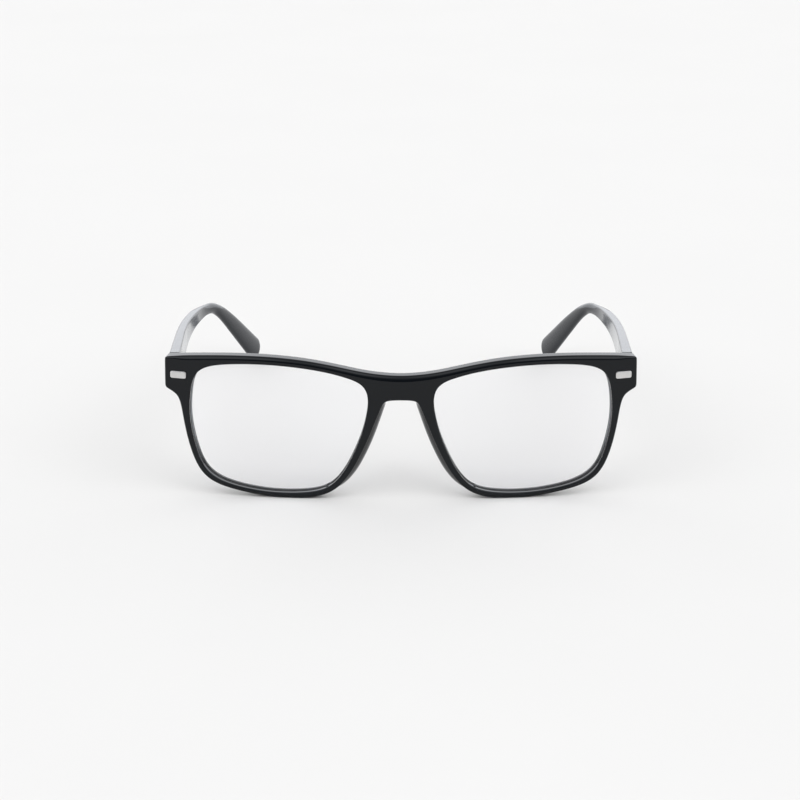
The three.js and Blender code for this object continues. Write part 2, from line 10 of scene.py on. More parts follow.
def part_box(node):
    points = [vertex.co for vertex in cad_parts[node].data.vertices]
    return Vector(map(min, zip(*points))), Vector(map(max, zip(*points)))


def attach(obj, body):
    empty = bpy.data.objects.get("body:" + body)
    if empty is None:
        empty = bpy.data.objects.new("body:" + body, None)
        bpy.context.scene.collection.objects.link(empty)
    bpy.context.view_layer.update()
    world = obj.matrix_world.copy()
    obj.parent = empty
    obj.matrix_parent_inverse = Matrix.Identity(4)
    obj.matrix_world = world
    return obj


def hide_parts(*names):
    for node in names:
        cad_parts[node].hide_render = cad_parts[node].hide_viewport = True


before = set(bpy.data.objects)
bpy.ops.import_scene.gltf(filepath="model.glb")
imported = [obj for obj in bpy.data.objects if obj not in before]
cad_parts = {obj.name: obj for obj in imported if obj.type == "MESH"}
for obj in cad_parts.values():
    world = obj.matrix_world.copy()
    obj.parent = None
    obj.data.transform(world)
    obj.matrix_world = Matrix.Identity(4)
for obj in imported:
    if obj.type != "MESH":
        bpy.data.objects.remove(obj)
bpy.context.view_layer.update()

MM = 0.001
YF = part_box("front_frame")[0].y / MM  # the front-most surface of the front, in mm

# ------------------------------------------------------------------ dimensions, in mm, as in the CAD source
BEND_RADIUS = 450.0
FRONT_THICKNESS = 4.0
FRONT_OUTLINE = [
    [0, 39.15], [4, 39.33], [8, 39.75], [12, 40.4], [16, 41.25], [20, 42.1],
    [24, 42.86], [28, 43.5], [32, 43.97], [36, 44.3], [40, 44.52], [44, 44.63],
    [48, 44.65], [52, 44.59], [56, 44.46], [60, 44.29], [64, 44.08], [67.6, 43.87],
    [69.1, 43.75], [69.85, 43.6], [70.22, 43.25], [70.32, 42.5], [70.38, 40.6], [70.46, 38.4], [70.53, 36.4],
    [70.55, 35.0], [70.45, 34.2], [69.85, 33.62], [68.7, 33.12], [67.6, 32.3], [66.75, 31.25],
    [66.2, 29.9], [65.87, 28.2], [65.62, 26.2], [65.32, 23.9], [64.93, 21.4], [64.43, 18.7],
    [63.8, 15.9], [63.0, 13.1], [61.95, 10.3], [60.65, 7.85], [58.95, 5.85], [56.4, 4.12],
    [52.8, 2.75], [48.4, 1.65], [44.0, 0.82], [40.0, 0.28], [36.6, 0.0], [33.5, 0.0],
    [30.4, 0.0], [27.4, 0.2], [24.8, 0.72], [22.6, 1.42], [20.7, 2.4], [19.1, 3.55],
    [17.6, 5.05], [16.1, 6.95], [14.5, 9.3], [12.85, 12.4], [11.3, 15.65], [9.85, 18.95],
    [8.6, 22.15], [7.4, 25.3], [6.45, 27.8], [5.65, 29.75], [4.95, 30.85], [3.9, 31.45],
    [2.4, 31.64], [0, 31.66],
]
OPENING_OUTLINE = [
    [16.6, 38.72], [19.2, 39.52], [22.4, 40.26], [25.8, 40.88], [29.3, 41.37], [32.8, 41.74],
    [36.4, 42.03], [40.2, 42.21], [44.0, 42.27], [48.0, 42.18], [51.6, 41.98], [54.8, 41.62],
    [57.6, 41.02], [59.7, 40.12], [61.2, 38.7], [62.08, 36.9], [62.58, 34.8], [62.95, 32.4],
    [63.25, 29.9], [63.4, 27.4], [63.38, 25.0], [63.2, 22.6], [62.85, 20.1], [62.35, 17.6],
    [61.78, 15.3], [61.1, 12.9], [60.2, 10.5], [58.9, 8.3], [57.0, 6.45], [54.4, 4.95],
    [51.0, 3.75], [47.2, 2.84], [43.2, 2.18], [39.2, 1.78], [35.2, 1.66], [31.2, 1.76],
    [27.6, 2.1], [24.6, 2.68], [22.2, 3.55], [20.4, 4.78], [18.8, 6.5], [17.05, 9.0],
    [15.35, 12.1], [13.85, 15.4], [12.5, 18.7], [11.35, 22.0], [10.5, 25.3], [9.95, 28.3],
    [9.68, 31.0], [9.75, 33.2], [10.4, 35.2], [11.75, 36.75], [13.8, 37.85],
]
GROOVE = dict(front=1.3, apex=2.1, back=2.9, depth=0.75)
LENS = dict(front=1.62, thickness=1.15, bulge=1.3, clearance=0.06, bevel=0.55)
LUG = dict(x0=62.85, x1=69.4, z0=34.9, z1=43.1, back=9.7, r=0.7)
PLAQUE = dict(along=66.35, z=38.2, w=4.75, h=2.15, r=0.55, tilt=1.9, proud=0.18, t=0.6, stud_r=0.45, stud_x=1.35, stud_len=2.0)
PLAQUE_GAP = 0.12
HINGE = dict(x=64.3, y=11.3, barrel_r=1.3, bore_r=0.75, z0=35.5, barrel=1.24, gap=0.1, splay=3.7)
FRONT_LEAF = dict(x0=63.45, x1=68.9, y0=8.72, y1=9.62)
TEMPLE_LEAF = dict(x0=1.72, x1=2.52, y0=-0.65, y1=9.6, z0=36.0, z1=40.9)
LEAF_GAP = 0.12
SCREW = dict(r=0.65, head_r=1.1, head=0.5, slot_w=0.32, slot_d=0.35)
TEMPLE_PATH = [
    [67.5, 10.0, 39.0, 9.0, 3.2], [67.76, 14.0, 38.5, 8.8, 3.15], [68.8, 30.0, 36.65, 8.1, 3.0],
    [69.95, 48.0, 34.6, 7.2, 2.8], [70.45, 62.0, 33.15, 6.2, 2.7], [70.35, 74.0, 31.95, 5.3, 2.7],
    [69.7, 85.0, 30.85, 4.5, 2.7], [68.7, 93.0, 29.95, 4.0, 2.75], [67.3, 99.0, 29.2, 3.65, 2.8],
    [65.7, 103.6, 28.3, 3.6, 2.85], [63.95, 107.3, 26.1, 4.0, 2.9], [62.2, 111.2, 22.95, 4.7, 3.0],
    [59.9, 116.6, 18.1, 5.7, 3.1], [56.5, 125.0, 10.3, 6.9, 3.2], [53.1, 133.4, 2.42, 8.2, 3.2],
]
TEMPLE_CORNER = 0.42
TIP_ROUND = 3.2
TIP_WIDTH_ROUND = 1.3
WIRE = dict(r=0.58, channel_r=0.72, start=0.4, end=12.6)
PAD_STATIONS = [
    [31.0, 0.25, 4.3], [30.7, 0.62, 4.45], [30.2, 0.9, 4.6], [29.2, 1.12, 4.95], [27.4, 1.26, 5.6], [24.8, 1.38, 6.5],
    [21.8, 1.48, 7.2], [18.8, 1.53, 7.6], [15.8, 1.56, 7.6], [12.8, 1.56, 7.3], [10.0, 1.52, 6.7], [7.6, 1.42, 6.1],
    [5.8, 1.25, 5.5], [4.6, 1.02, 5.0], [3.8, 0.73, 4.7], [3.2, 0.4, 4.5], [2.7, 0.15, 4.35],
]
PAD = dict(gap=0.04, front=0.85, crest=3.6, splay=0.3, thickness=1.6, inset=1.35)


def barrel_z(k):
    return HINGE["z0"] + k * (HINGE["barrel"] + HINGE["gap"])


STACK_TOP = barrel_z(4) + HINGE["barrel"]


# ------------------------------------------------------------------ curves
def spline(points, closed, per, power=0.25):
    """Cubic curve through points, per samples to a span; power 0.25 is centripetal and 0 uniform."""
    p = np.asarray(points, float)
    n = len(p)

    def get(i):
        if closed:
            return p[i % n]
        if i < 0:
            return 2 * p[0] - p[1]
        if i >= n:
            return 2 * p[-1] - p[-2]
        return p[i]

    t = (np.arange(per) / per)[:, None]
    out = []
    for i in range(n if closed else n - 1):
        p0, p1, p2, p3 = get(i - 1), get(i), get(i + 1), get(i + 2)
        d0, d1, d2 = (max(float(np.sum((b - a) ** 2)) ** power, 1e-6) for a, b in ((p0, p1), (p1, p2), (p2, p3)))
        m1 = ((p1 - p0) / d0 - (p2 - p0) / (d0 + d1) + (p2 - p1) / d1) * d1
        m2 = ((p2 - p1) / d1 - (p3 - p1) / (d1 + d2) + (p3 - p2) / d2) * d1
        out.append(p1 + m1 * t + (-3 * p1 + 3 * p2 - 2 * m1 - m2) * t**2 + (2 * p1 - 2 * p2 + m1 + m2) * t**3)
    out = np.vstack(out)
    return out if closed else np.vstack([out, p[-1]])


def resample_closed(curve, n):
    c = np.vstack([curve, curve[:1]])
    s = np.concatenate([[0], np.cumsum(np.linalg.norm(np.diff(c, axis=0), axis=1))])
    u = np.arange(n) / n * s[-1]
    return np.column_stack([np.interp(u, s, c[:, k]) for k in range(c.shape[1])]), s[-1]


def length_closed(curve):
    return float(np.sum(np.linalg.norm(np.roll(curve, -1, 0) - curve, axis=1)))


def curvature(p):
    """Signed curvature of an evenly spaced closed ring, positive where it turns left."""
    a, b = np.roll(p, 1, 0), np.roll(p, -1, 0)
    d1, d2 = p - a, b - p
    cross = d1[:, 0] * d2[:, 1] - d1[:, 1] * d2[:, 0]
    dot = np.sum(d1 * d2, axis=1)
    return np.arctan2(cross, dot) / np.maximum(1e-9, 0.5 * (np.linalg.norm(d1, axis=1) + np.linalg.norm(d2, axis=1)))


def blur(v, sigma):
    """Gaussian blur round a closed ring of values; sigma is in samples."""
    n = len(v)
    f = np.fft.rfft(v, axis=0)
    k = np.arange(f.shape[0]) / n
    g = np.exp(-2 * (math.pi * k * sigma) ** 2)
    return np.fft.irfft(f * (g if v.ndim == 1 else g[:, None]), n, axis=0)


def smooth_ring(p, passes, corner):
    """Evens out a ring while its corners, tighter than about `corner` mm, stay."""
    for _ in range(passes):
        k = np.abs(blur(curvature(p), 3))
        w = 1 / (1 + (k * corner) ** 4)
        mid = (np.roll(p, 1, 0) + np.roll(p, -1, 0)) / 2
        p = p + 0.5 * w[:, None] * (mid - p)
    return p


def left_normals(p):
    d = np.roll(p, -1, 0) - np.roll(p, 1, 0)
    d /= np.linalg.norm(d, axis=1)[:, None]
    return np.column_stack([-d[:, 1], d[:, 0]])


def smoothstep(a, b, x):
    t = np.clip((x - a) / (b - a), 0, 1)
    return t * t * (3 - 2 * t)


def bend(s, z, d):
    s, z, d = np.broadcast_arrays(np.asarray(s, float), np.asarray(z, float), np.asarray(d, float))
    a = s / BEND_RADIUS
    r = BEND_RADIUS - d
    return np.stack([r * np.sin(a), BEND_RADIUS - r * np.cos(a), z], axis=-1)


class Ring:
    """A closed outline in the plane of the bend with its outward normals."""

    def __init__(self, p, n):
        self.p, self.n = p, n

    def flat(self, offset):
        return self.p + np.asarray(offset, float).reshape(-1, 1) * self.n

    def at(self, offset, d):
        q = self.flat(offset)
        return bend(q[:, 0], q[:, 1], d)

    def mirror(self):
        return Ring((self.p * [-1, 1])[::-1].copy(), (self.n * [-1, 1])[::-1].copy())


def front_ring(spacing):
    full = FRONT_OUTLINE + [[-s, z] for s, z in reversed(FRONT_OUTLINE[1:-1])]
    dense = spline(full, True, 60)
    n = 2 * round(length_closed(dense) / spacing / 2)
    p, _ = resample_closed(dense, n)
    p = smooth_ring(p, 40, 6.0)
    m = (-np.arange(n)) % n
    p = (p + p[m] * [-1, 1]) / 2
    p[:, 1] = np.maximum(p[:, 1], 0)
    return Ring(p[::-1].copy(), -left_normals(p[::-1]))  # anticlockwise, outwards to the right


def opening_ring(spacing):
    dense = spline(OPENING_OUTLINE, True, 60)
    n = 2 * round(length_closed(dense) / spacing / 2)
    p, _ = resample_closed(dense, n)
    p = smooth_ring(p, 60, 4.0)[::-1].copy()
    return Ring(p, -left_normals(p))


# ------------------------------------------------------------------ meshes
def inside(points, ring):
    x, y = points[:, 0][:, None], points[:, 1][:, None]
    x0, y0 = ring[:, 0], ring[:, 1]
    x1, y1 = np.roll(x0, -1), np.roll(y0, -1)
    hit = ((y0 > y) != (y1 > y)) & (x < (x1 - x0) * (y - y0) / (y1 - y0 + 1e-30) + x0)
    return np.sum(hit, axis=1) % 2 == 1


def gap_to(points, others):
    best = np.full(len(points), 1e9)
    for i in range(0, len(points), 512):
        d = points[i : i + 512, None, :] - others[None, :, :]
        best[i : i + 512] = np.sqrt(np.min(np.sum(d * d, axis=2), axis=1))
    return best


def cap(rings, spacing, holds=()):
    """Triangles between flat rings, the first the outside. Returns the points inside and the triangles, whose indices run through the rings and then those points."""
    ring_points = np.vstack(rings)
    free = np.zeros((0, 2))
    for h in holds:
        free = np.vstack([free, h])
    if len(free):
        keep = inside(free, rings[0])
        for hole in rings[1:]:
            keep &= ~inside(free, hole)
        free = free[keep]
        free = free[gap_to(free, ring_points) > 0.045]
    if spacing:
        lo, hi = rings[0].min(0), rings[0].max(0)
        rows = np.arange(lo[1], hi[1], spacing * 0.866)
        grid = np.array([[x, y] for i, y in enumerate(rows) for x in np.arange(lo[0] + (i % 2) * spacing / 2, hi[0], spacing)])
        if len(grid):
            keep = inside(grid, rings[0])
            for hole in rings[1:]:
                keep &= ~inside(grid, hole)
            grid = grid[keep]
            if len(grid):
                known = np.vstack([ring_points, free])
                grid = grid[gap_to(grid, known) > spacing * 0.5]
                free = np.vstack([free, grid])
    points = np.vstack([ring_points, free])
    edges, first = [], 0
    for r in rings:
        edges += [(first + i, first + (i + 1) % len(r)) for i in range(len(r))]
        first += len(r)
    out, _, tris, origin, _, _ = delaunay_2d_cdt([Vector(p) for p in points.tolist()], edges, [], 0, 1e-7, True)
    if len(out) != len(points) or any(len(o) != 1 for o in origin):
        raise RuntimeError("a flat cap merged or crossed points")
    back = np.array([o[0] for o in origin])
    t = back[np.array([list(f) for f in tris])]
    centre = points[t].mean(1)
    keep = inside(centre, rings[0])
    for hole in rings[1:]:
        keep &= ~inside(centre, hole)
    t = t[keep]
    a, b, c = points[t[:, 0]], points[t[:, 1]], points[t[:, 2]]
    area = (b[:, 0] - a[:, 0]) * (c[:, 1] - a[:, 1]) - (b[:, 1] - a[:, 1]) * (c[:, 0] - a[:, 0])
    t[area < 0] = t[area < 0][:, ::-1]
    return free, t[np.abs(area) > 1e-9]


class Shell:
    """Collects vertices and faces, in mm."""

    def __init__(self):
        self.v, self.f, self.count = [], [], 0

    def put(self, points):
        points = np.asarray(points, float).reshape(-1, 3)
        self.v.append(points)
        self.count += len(points)
        return self.count - len(points)

    def wall(self, a, b, n, turn=False):
        for i in range(n):
            j = (i + 1) % n
            self.f.append((a + i, a + j, b + j, b + i) if turn else (a + i, b + i, b + j, a + j))

    def tube(self, rings, turn=False):
        first = [self.put(r) for r in rings]
        for a, b in zip(first, first[1:]):
            self.wall(a, b, len(rings[0]), turn)
        return first

    def fan(self, first, n, centre, turn=False):
        c = self.put([centre])
        for i in range(n):
            j = (i + 1) % n
            self.f.append((first + j, first + i, c) if turn else (first + i, first + j, c))

    def close(self, firsts, rings, place, spacing, turn, holds=()):
        """Caps rings already put at `firsts`; place maps flat points to space."""
        free, tris = cap(rings, spacing, holds)
        start = self.put(place(free)) if len(free) else self.count
        index = np.concatenate([np.arange(f, f + len(r)) for f, r in zip(firsts, rings)] + [np.arange(start, start + len(free))])
        for t in index[tris].tolist():
            self.f.append(tuple(reversed(t)) if turn else tuple(t))

    def points(self):
        return np.vstack(self.v)

    def add(self, other, matrix=None):
        p = other.points()
        if matrix is not None:
            m = np.array(matrix)
            p = p @ m[:3, :3].T + m[:3, 3]
        first = self.put(p)
        self.f += [tuple(first + i for i in f) for f in other.f]
        return self

    def volume(self):
        p = self.points()
        total = 0.0
        for f in self.f:
            for i in range(1, len(f) - 1):
                total += float(np.dot(p[f[0]], np.cross(p[f[i]], p[f[i + 1]])))
        return total / 6

    def outward(self):
        if self.volume() < 0:
            self.f = [tuple(reversed(f)) for f in self.f]
        return self


def mesh_of(shell, name, mirror=False):
    p = shell.points().copy()
    f = shell.f
    if mirror:
        p[:, 0] *= -1
        f = [tuple(reversed(q)) for q in f]
    p[:, 1] += YF
    me = bpy.data.meshes.new(name)
    me.from_pydata((p * MM).tolist(), [], f)
    me.update()
    return me


def link(name, me):
    o = bpy.data.objects.new(name, me)
    bpy.context.scene.collection.objects.link(o)
    return o


def applied(o):
    """Bakes an object's modifiers into its mesh."""
    bpy.context.view_layer.update()
    me = bpy.data.meshes.new_from_object(o.evaluated_get(bpy.context.evaluated_depsgraph_get()))
    o.modifiers.clear()
    old = o.data
    o.data = me
    me.name = old.name
    bpy.data.meshes.remove(old)
    return o


def boolean(o, shell, operation, mirror=False):
    tool = link("tool", mesh_of(shell, "tool", mirror))
    m = o.modifiers.new("cut", "BOOLEAN")
    m.operation, m.solver, m.object = operation, "EXACT", tool
    applied(o)
    me = tool.data
    bpy.data.objects.remove(tool)
    bpy.data.meshes.remove(me)
    return o


def finished(o, material, body, nodes, sharp=32):
    bm = bmesh.new()
    bm.from_mesh(o.data)
    bmesh.ops.remove_doubles(bm, verts=bm.verts, dist=1e-7)
    bmesh.ops.dissolve_degenerate(bm, dist=1e-7, edges=bm.edges)
    loose = [v for v in bm.verts if not v.link_faces]
    bmesh.ops.delete(bm, geom=loose, context="VERTS")
    bm.to_mesh(o.data)
    bm.free()
    o.data.shade_smooth()
    o.data.set_sharp_from_angle(angle=math.radians(sharp))
    o.data.materials.clear()
    o.data.materials.append(material)
    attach(o, body)
    if nodes:
        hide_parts(*nodes)
    return o


def rounded_rectangle(w, h, r, per_corner=8, per_side=1):
    """Anticlockwise points of a rounded rectangle about the origin, with their outward normals."""
    p, n = [], []
    corners = [(w / 2 - r, -h / 2 + r, -90), (w / 2 - r, h / 2 - r, 0), (-w / 2 + r, h / 2 - r, 90), (-w / 2 + r, -h / 2 + r, 180)]
    for k, (x, y, a0) in enumerate(corners):
        for i in range(per_corner + 1):
            a = math.radians(a0 + 90 * i / per_corner)
            p.append([x + r * math.cos(a), y + r * math.sin(a)])
            n.append([math.cos(a), math.sin(a)])
        x1, y1, a1 = corners[(k + 1) % 4]
        end = [x1 + r * math.cos(math.radians(a1)), y1 + r * math.sin(math.radians(a1))]
        start = p[-1]
        for i in range(1, per_side):
            t = i / per_side
            p.append([start[0] + (end[0] - start[0]) * t, start[1] + (end[1] - start[1]) * t])
            n.append(n[-1])
    return Ring(np.array(p, float), np.array(n, float))


def circle(x, y, r, sides):
    a = np.arange(sides) / sides * 2 * math.pi
    n = np.column_stack([np.cos(a), np.sin(a)])
    return Ring(np.array([x, y]) + r * n, n)


def prism(outline, holes, profile, hole_profile=None, spacing=0):
    """A closed block: the outline follows profile, [(offset, height), ...] upwards, and each hole goes straight through."""
    s = Shell()
    hole_profile = hole_profile or [(0, profile[0][1]), (0, profile[-1][1])]

    def lift(flat, z):
        return np.column_stack([flat, np.full(len(flat), z)])

    o = s.tube([lift(outline.flat(e), z) for e, z in profile], turn=True)
    hs = [s.tube([lift(h.flat(-e), z) for e, z in hole_profile]) for h in holes]
    for end, turn in ((0, True), (-1, False)):
        rings = [outline.flat(profile[end][0])] + [h.flat(-hole_profile[end][0]) for h in holes]
        z = profile[end][1]
        s.close([o[end]] + [h[end] for h in hs], rings, lambda q, z=z: lift(q, z), spacing, turn)
    return s.outward()


def arc_profile(r, steps, hold=0.0):
    """(inset, rise) of a quarter round from the side to the top."""
    return [(-r + r * math.cos(math.pi / 2 * i / steps), r * math.sin(math.pi / 2 * i / steps)) for i in range(steps + 1)]


# ------------------------------------------------------------------ materials
def nodes_of(m):
    m.use_nodes = True
    nt = m.node_tree
    return nt, nt.nodes["Principled BSDF"], nt.nodes["Material Output"]


def new(nt, kind, **values):
    n = nt.nodes.new(kind)
    for k, v in values.items():
        if k in n.inputs.keys():
            n.inputs[k].default_value = v
        else:
            setattr(n, k, v)
    return n


def noise(nt, vector, scale, detail=3.0, roughness=0.55):
    n = new(nt, "ShaderNodeTexNoise")
    n.inputs["Scale"].default_value = scale
    n.inputs["Detail"].default_value = detail
    n.inputs["Roughness"].default_value = roughness
    nt.links.new(vector, n.inputs["Vector"])
    return n.outputs["Fac"]


def spread(nt, value, low, high, a=0.0, b=1.0):
    n = new(nt, "ShaderNodeMapRange")
    for k, v in (("From Min", a), ("From Max", b), ("To Min", low), ("To Max", high)):
        n.inputs[k].default_value = v
    nt.links.new(value, n.inputs["Value"])
    return n.outputs["Result"]


def ramp(nt, value, stops):
    n = new(nt, "ShaderNodeValToRGB")
    e = n.color_ramp.elements
    while len(e) < len(stops):
        e.new(0.5)
    for el, (pos, colour) in zip(e, stops):
        el.position, el.color = pos, (*colour, 1)
    nt.links.new(value, n.inputs["Fac"])
    return n.outputs["Color"]


def combine(nt, op, a, b):
    n = new(nt, "ShaderNodeMath", operation=op)
    for k, v in enumerate((a, b)):
        if isinstance(v, (int, float)):
            n.inputs[k].default_value = v
        else:
            nt.links.new(v, n.inputs[k])
    return n.outputs[0]


def object_space(nt, scale=(1, 1, 1), rotation=(0, 0, 0), location=(0, 0, 0)):
    t = new(nt, "ShaderNodeTexCoord")
    m = new(nt, "ShaderNodeMapping")
    m.inputs["Scale"].default_value = scale
    m.inputs["Rotation"].default_value = rotation
    m.inputs["Location"].default_value = location
    nt.links.new(t.outputs["Object"], m.inputs["Vector"])
    return m.outputs["Vector"]


def bumped(nt, shader, height, strength, distance):
    b = new(nt, "ShaderNodeBump")
    b.inputs["Strength"].default_value = strength
    b.inputs["Distance"].default_value = distance
    nt.links.new(height, b.inputs["Height"])
    nt.links.new(b.outputs["Normal"], shader.inputs["Normal"])


def acetate(name, low, high, rough, cloud=160.0, ior=1.36, bloom=0.0):
    """Polished black cellulose acetate: deep gloss, with faint clouding, wiping haze and a little orange peel."""
    m = bpy.data.materials.new(name)
    nt, s, _ = nodes_of(m)
    v = object_space(nt)
    body = noise(nt, v, cloud, 4.0, 0.6)
    nt.links.new(ramp(nt, body, [(0.3, low), (0.7, high)]), s.inputs["Base Color"])
    haze = noise(nt, v, 70.0, 3.0, 0.5)
    grain = noise(nt, v, 2600.0, 2.0, 0.6)
    r = combine(nt, "ADD", spread(nt, haze, rough[0], rough[1], 0.35, 0.68), spread(nt, grain, -0.012, 0.012))
    nt.links.new(r, s.inputs["Roughness"])
    peel = noise(nt, v, 420.0, 2.0, 0.5)
    h = combine(nt, "ADD", combine(nt, "MULTIPLY", peel, 1.0), combine(nt, "MULTIPLY", grain, 0.12))
    bumped(nt, s, h, 0.25, 0.000012)
    s.inputs["IOR"].default_value = ior
    # a trace of wiping haze, which shows only at grazing angles
    s.inputs["Sheen Weight"].default_value = bloom
    s.inputs["Sheen Roughness"].default_value = 0.36
    s.inputs["Sheen Tint"].default_value = (0.92, 0.955, 1.0, 1)
    return m


def lens_material(name):
    """Clear coated lens: what is behind shows unbent, with a faint blue-violet coating reflection."""
    m = bpy.data.materials.new(name)
    m.use_nodes = True
    nt = m.node_tree
    nt.nodes.clear()
    out = new(nt, "ShaderNodeOutputMaterial")
    v = object_space(nt)
    clear = new(nt, "ShaderNodeBsdfTransparent")
    drift = noise(nt, v, 24.0, 2.0, 0.5)
    nt.links.new(ramp(nt, drift, [(0.3, (0.992, 0.993, 0.995)), (0.7, (0.996, 0.996, 0.997))]), clear.inputs["Color"])
    coat = new(nt, "ShaderNodeBsdfGlossy")
    fres = new(nt, "ShaderNodeFresnel")
    fres.inputs["IOR"].default_value = 1.22
    tint = new(nt, "ShaderNodeMix", data_type="RGBA")
    nt.links.new(spread(nt, fres.outputs[0], 0.0, 1.0, 0.01, 0.2), tint.inputs[0])
    nt.links.new(ramp(nt, drift, [(0.3, (0.42, 0.46, 0.95)), (0.7, (0.55, 0.47, 0.95))]), tint.inputs[6])
    tint.inputs[7].default_value = (0.86, 0.88, 0.92, 1)
    nt.links.new(tint.outputs[2], coat.inputs["Color"])
    smear = noise(nt, v, 120.0, 4.0, 0.6)
    nt.links.new(spread(nt, smear, 0.012, 0.05, 0.4, 0.75), coat.inputs["Roughness"])
    mix = new(nt, "ShaderNodeMixShader")
    nt.links.new(combine(nt, "MULTIPLY", fres.outputs[0], 0.62), mix.inputs[0])
    nt.links.new(clear.outputs[0], mix.inputs[1])
    nt.links.new(coat.outputs[0], mix.inputs[2])
    nt.links.new(mix.outputs[0], out.inputs["Surface"])
    return m


def painted_refraction_edge_material(name):
    """The ground edge of the lens in its groove, painted with the refraction of the black rim: painted shade makes it
    dark along the bottom of the rim and greyer higher up.
    """
    m = bpy.data.materials.new(name)
    nt, s, _ = nodes_of(m)
    v = object_space(nt)
    sep = new(nt, "ShaderNodeSeparateXYZ")
    nt.links.new(v, sep.inputs[0])
    wave = noise(nt, v, 300.0, 3.0, 0.5)
    # painted shade: by height the colour runs from near-black at the bottom of the rim to grey higher up
    height = combine(nt, "ADD", spread(nt, sep.outputs[2], 0.0, 1.0, 0.008, 0.02), spread(nt, wave, -0.05, 0.05))
    nt.links.new(ramp(nt, height, [(0.15, (0.004, 0.004, 0.0045)), (0.9, (0.30, 0.31, 0.32))]), s.inputs["Base Color"])
    nt.links.new(spread(nt, wave, 0.4, 0.55), s.inputs["Roughness"])
    bumped(nt, s, wave, 0.2, 0.00001)
    return m


def brushed(name, low, high, rough, stretch, streaks=1.0, bump=0.25):
    """Metal with fine straight brushing; stretch is the noise frequency along each axis, per metre."""
    m = bpy.data.materials.new(name)
    nt, s, _ = nodes_of(m)
    v = object_space(nt, scale=stretch)
    line = noise(nt, v, 1.0, 5.0, 0.65)
    soft = noise(nt, object_space(nt), 380.0, 3.0, 0.5)
    nt.links.new(ramp(nt, combine(nt, "ADD", combine(nt, "MULTIPLY", line, 0.7 * streaks), combine(nt, "MULTIPLY", soft, 0.3)), [(0.3, low), (0.7, high)]), s.inputs["Base Color"])
    nt.links.new(combine(nt, "ADD", spread(nt, line, rough[0], rough[1], 0.3, 0.7), spread(nt, soft, -0.03, 0.03)), s.inputs["Roughness"])
    bumped(nt, s, line, bump, 0.00002)
    s.inputs["Metallic"].default_value = 1.0
    return m


def turned(name, low, high, rough, centre):
    """Lathe-turned steel: fine rings about a vertical axis, with faint mottling."""
    m = bpy.data.materials.new(name)
    nt, s, _ = nodes_of(m)
    v = object_space(nt, location=(-centre[0], -centre[1], 0))
    sep = new(nt, "ShaderNodeSeparateXYZ")
    nt.links.new(v, sep.inputs[0])
    x, y, z = sep.outputs
    r = combine(nt, "SQRT", combine(nt, "ADD", combine(nt, "MULTIPLY", x, x), combine(nt, "MULTIPLY", y, y)), 0)
    wave = combine(nt, "SINE", combine(nt, "MULTIPLY", combine(nt, "ADD", r, z), 2 * math.pi / 0.00009), 0)
    soft = noise(nt, object_space(nt), 900.0, 3.0, 0.6)
    nt.links.new(ramp(nt, soft, [(0.3, low), (0.7, high)]), s.inputs["Base Color"])
    nt.links.new(spread(nt, soft, rough[0], rough[1], 0.3, 0.7), s.inputs["Roughness"])
    bumped(nt, s, combine(nt, "ADD", combine(nt, "MULTIPLY", wave, 0.5), soft), 0.3, 0.000008)
    s.inputs["Metallic"].default_value = 1.0
    return m


FRONT_PLASTIC = acetate("front_acetate", (0.0003, 0.0013, 0.0026), (0.0009, 0.0021, 0.0038), (0.05, 0.10), 160.0, 1.352)
TEMPLE_PLASTIC = acetate("temple_acetate", (0.0020, 0.0038, 0.0074), (0.0032, 0.0052, 0.0094), (0.06, 0.12), 120.0, 1.40, 0.24)
PAD_PLASTIC = acetate("pad_acetate", (0.003, 0.0034, 0.0043), (0.005, 0.0053, 0.0062), (0.10, 0.17), 160.0, 1.5)
LENS_CLEAR = lens_material("lens_clear")
# the lens edge carries a painted refraction of the black rim and painted shade along its bottom
PAINTED_LENS_EDGE = painted_refraction_edge_material("lens_edge_painted_refraction_and_shade")
PLAQUE_METAL = brushed("plaque_satin", (0.595, 0.588, 0.578), (0.725, 0.717, 0.706), (0.30, 0.40), (260.0, 9000.0, 9000.0))
HINGE_STEEL = brushed("hinge_nickel", (0.60, 0.595, 0.58), (0.69, 0.68, 0.665), (0.26, 0.34), (2200.0, 2200.0, 500.0), bump=0.05)
WIRE_STEEL = brushed("core_wire_drawn", (0.50, 0.50, 0.505), (0.66, 0.66, 0.665), (0.24, 0.36), (6000.0, 120.0, 2500.0))
SCREW_STEEL = {
    side: turned("screw_turned_" + name, (0.62, 0.62, 0.62), (0.78, 0.775, 0.765), (0.16, 0.28), (side * HINGE["x"] * MM, (HINGE["y"] + YF) * MM))
    for side, name in ((1, "left"), (-1, "right"))
}

SIDES = ((1, "left"), (-1, "right"))


# ------------------------------------------------------------------ front
SPACING = 0.36
OUTER = front_ring(SPACING)
HOLE = opening_ring(SPACING)


def edge_radii(ring, wanted, most=0.72):
    """Edge radius along a ring, kept under its convex corners' own radius."""
    k = np.maximum(curvature(ring.p), 1e-6)  # anticlockwise: convex corners turn left
    limit = most / k
    r = np.minimum(wanted, limit)
    n = len(r)
    reach = 9
    low = np.min(np.stack([np.roll(r, i) for i in range(-reach, reach + 1)]), axis=0)
    return np.minimum(blur(low, reach / 2), 1.5)


def quarter(ring, r, steps, front):
    """Rings of a rounded edge, from the face to the side wall (front) or the other way round."""
    out = []
    for i in range(steps + 1):
        a = math.pi / 2 * i / steps
        if front:
            out.append((-r + r * math.sin(a), r - r * math.cos(a)))
        else:
            out.append((-r + r * math.cos(a), FRONT_THICKNESS - r + r * math.sin(a)))
    return out


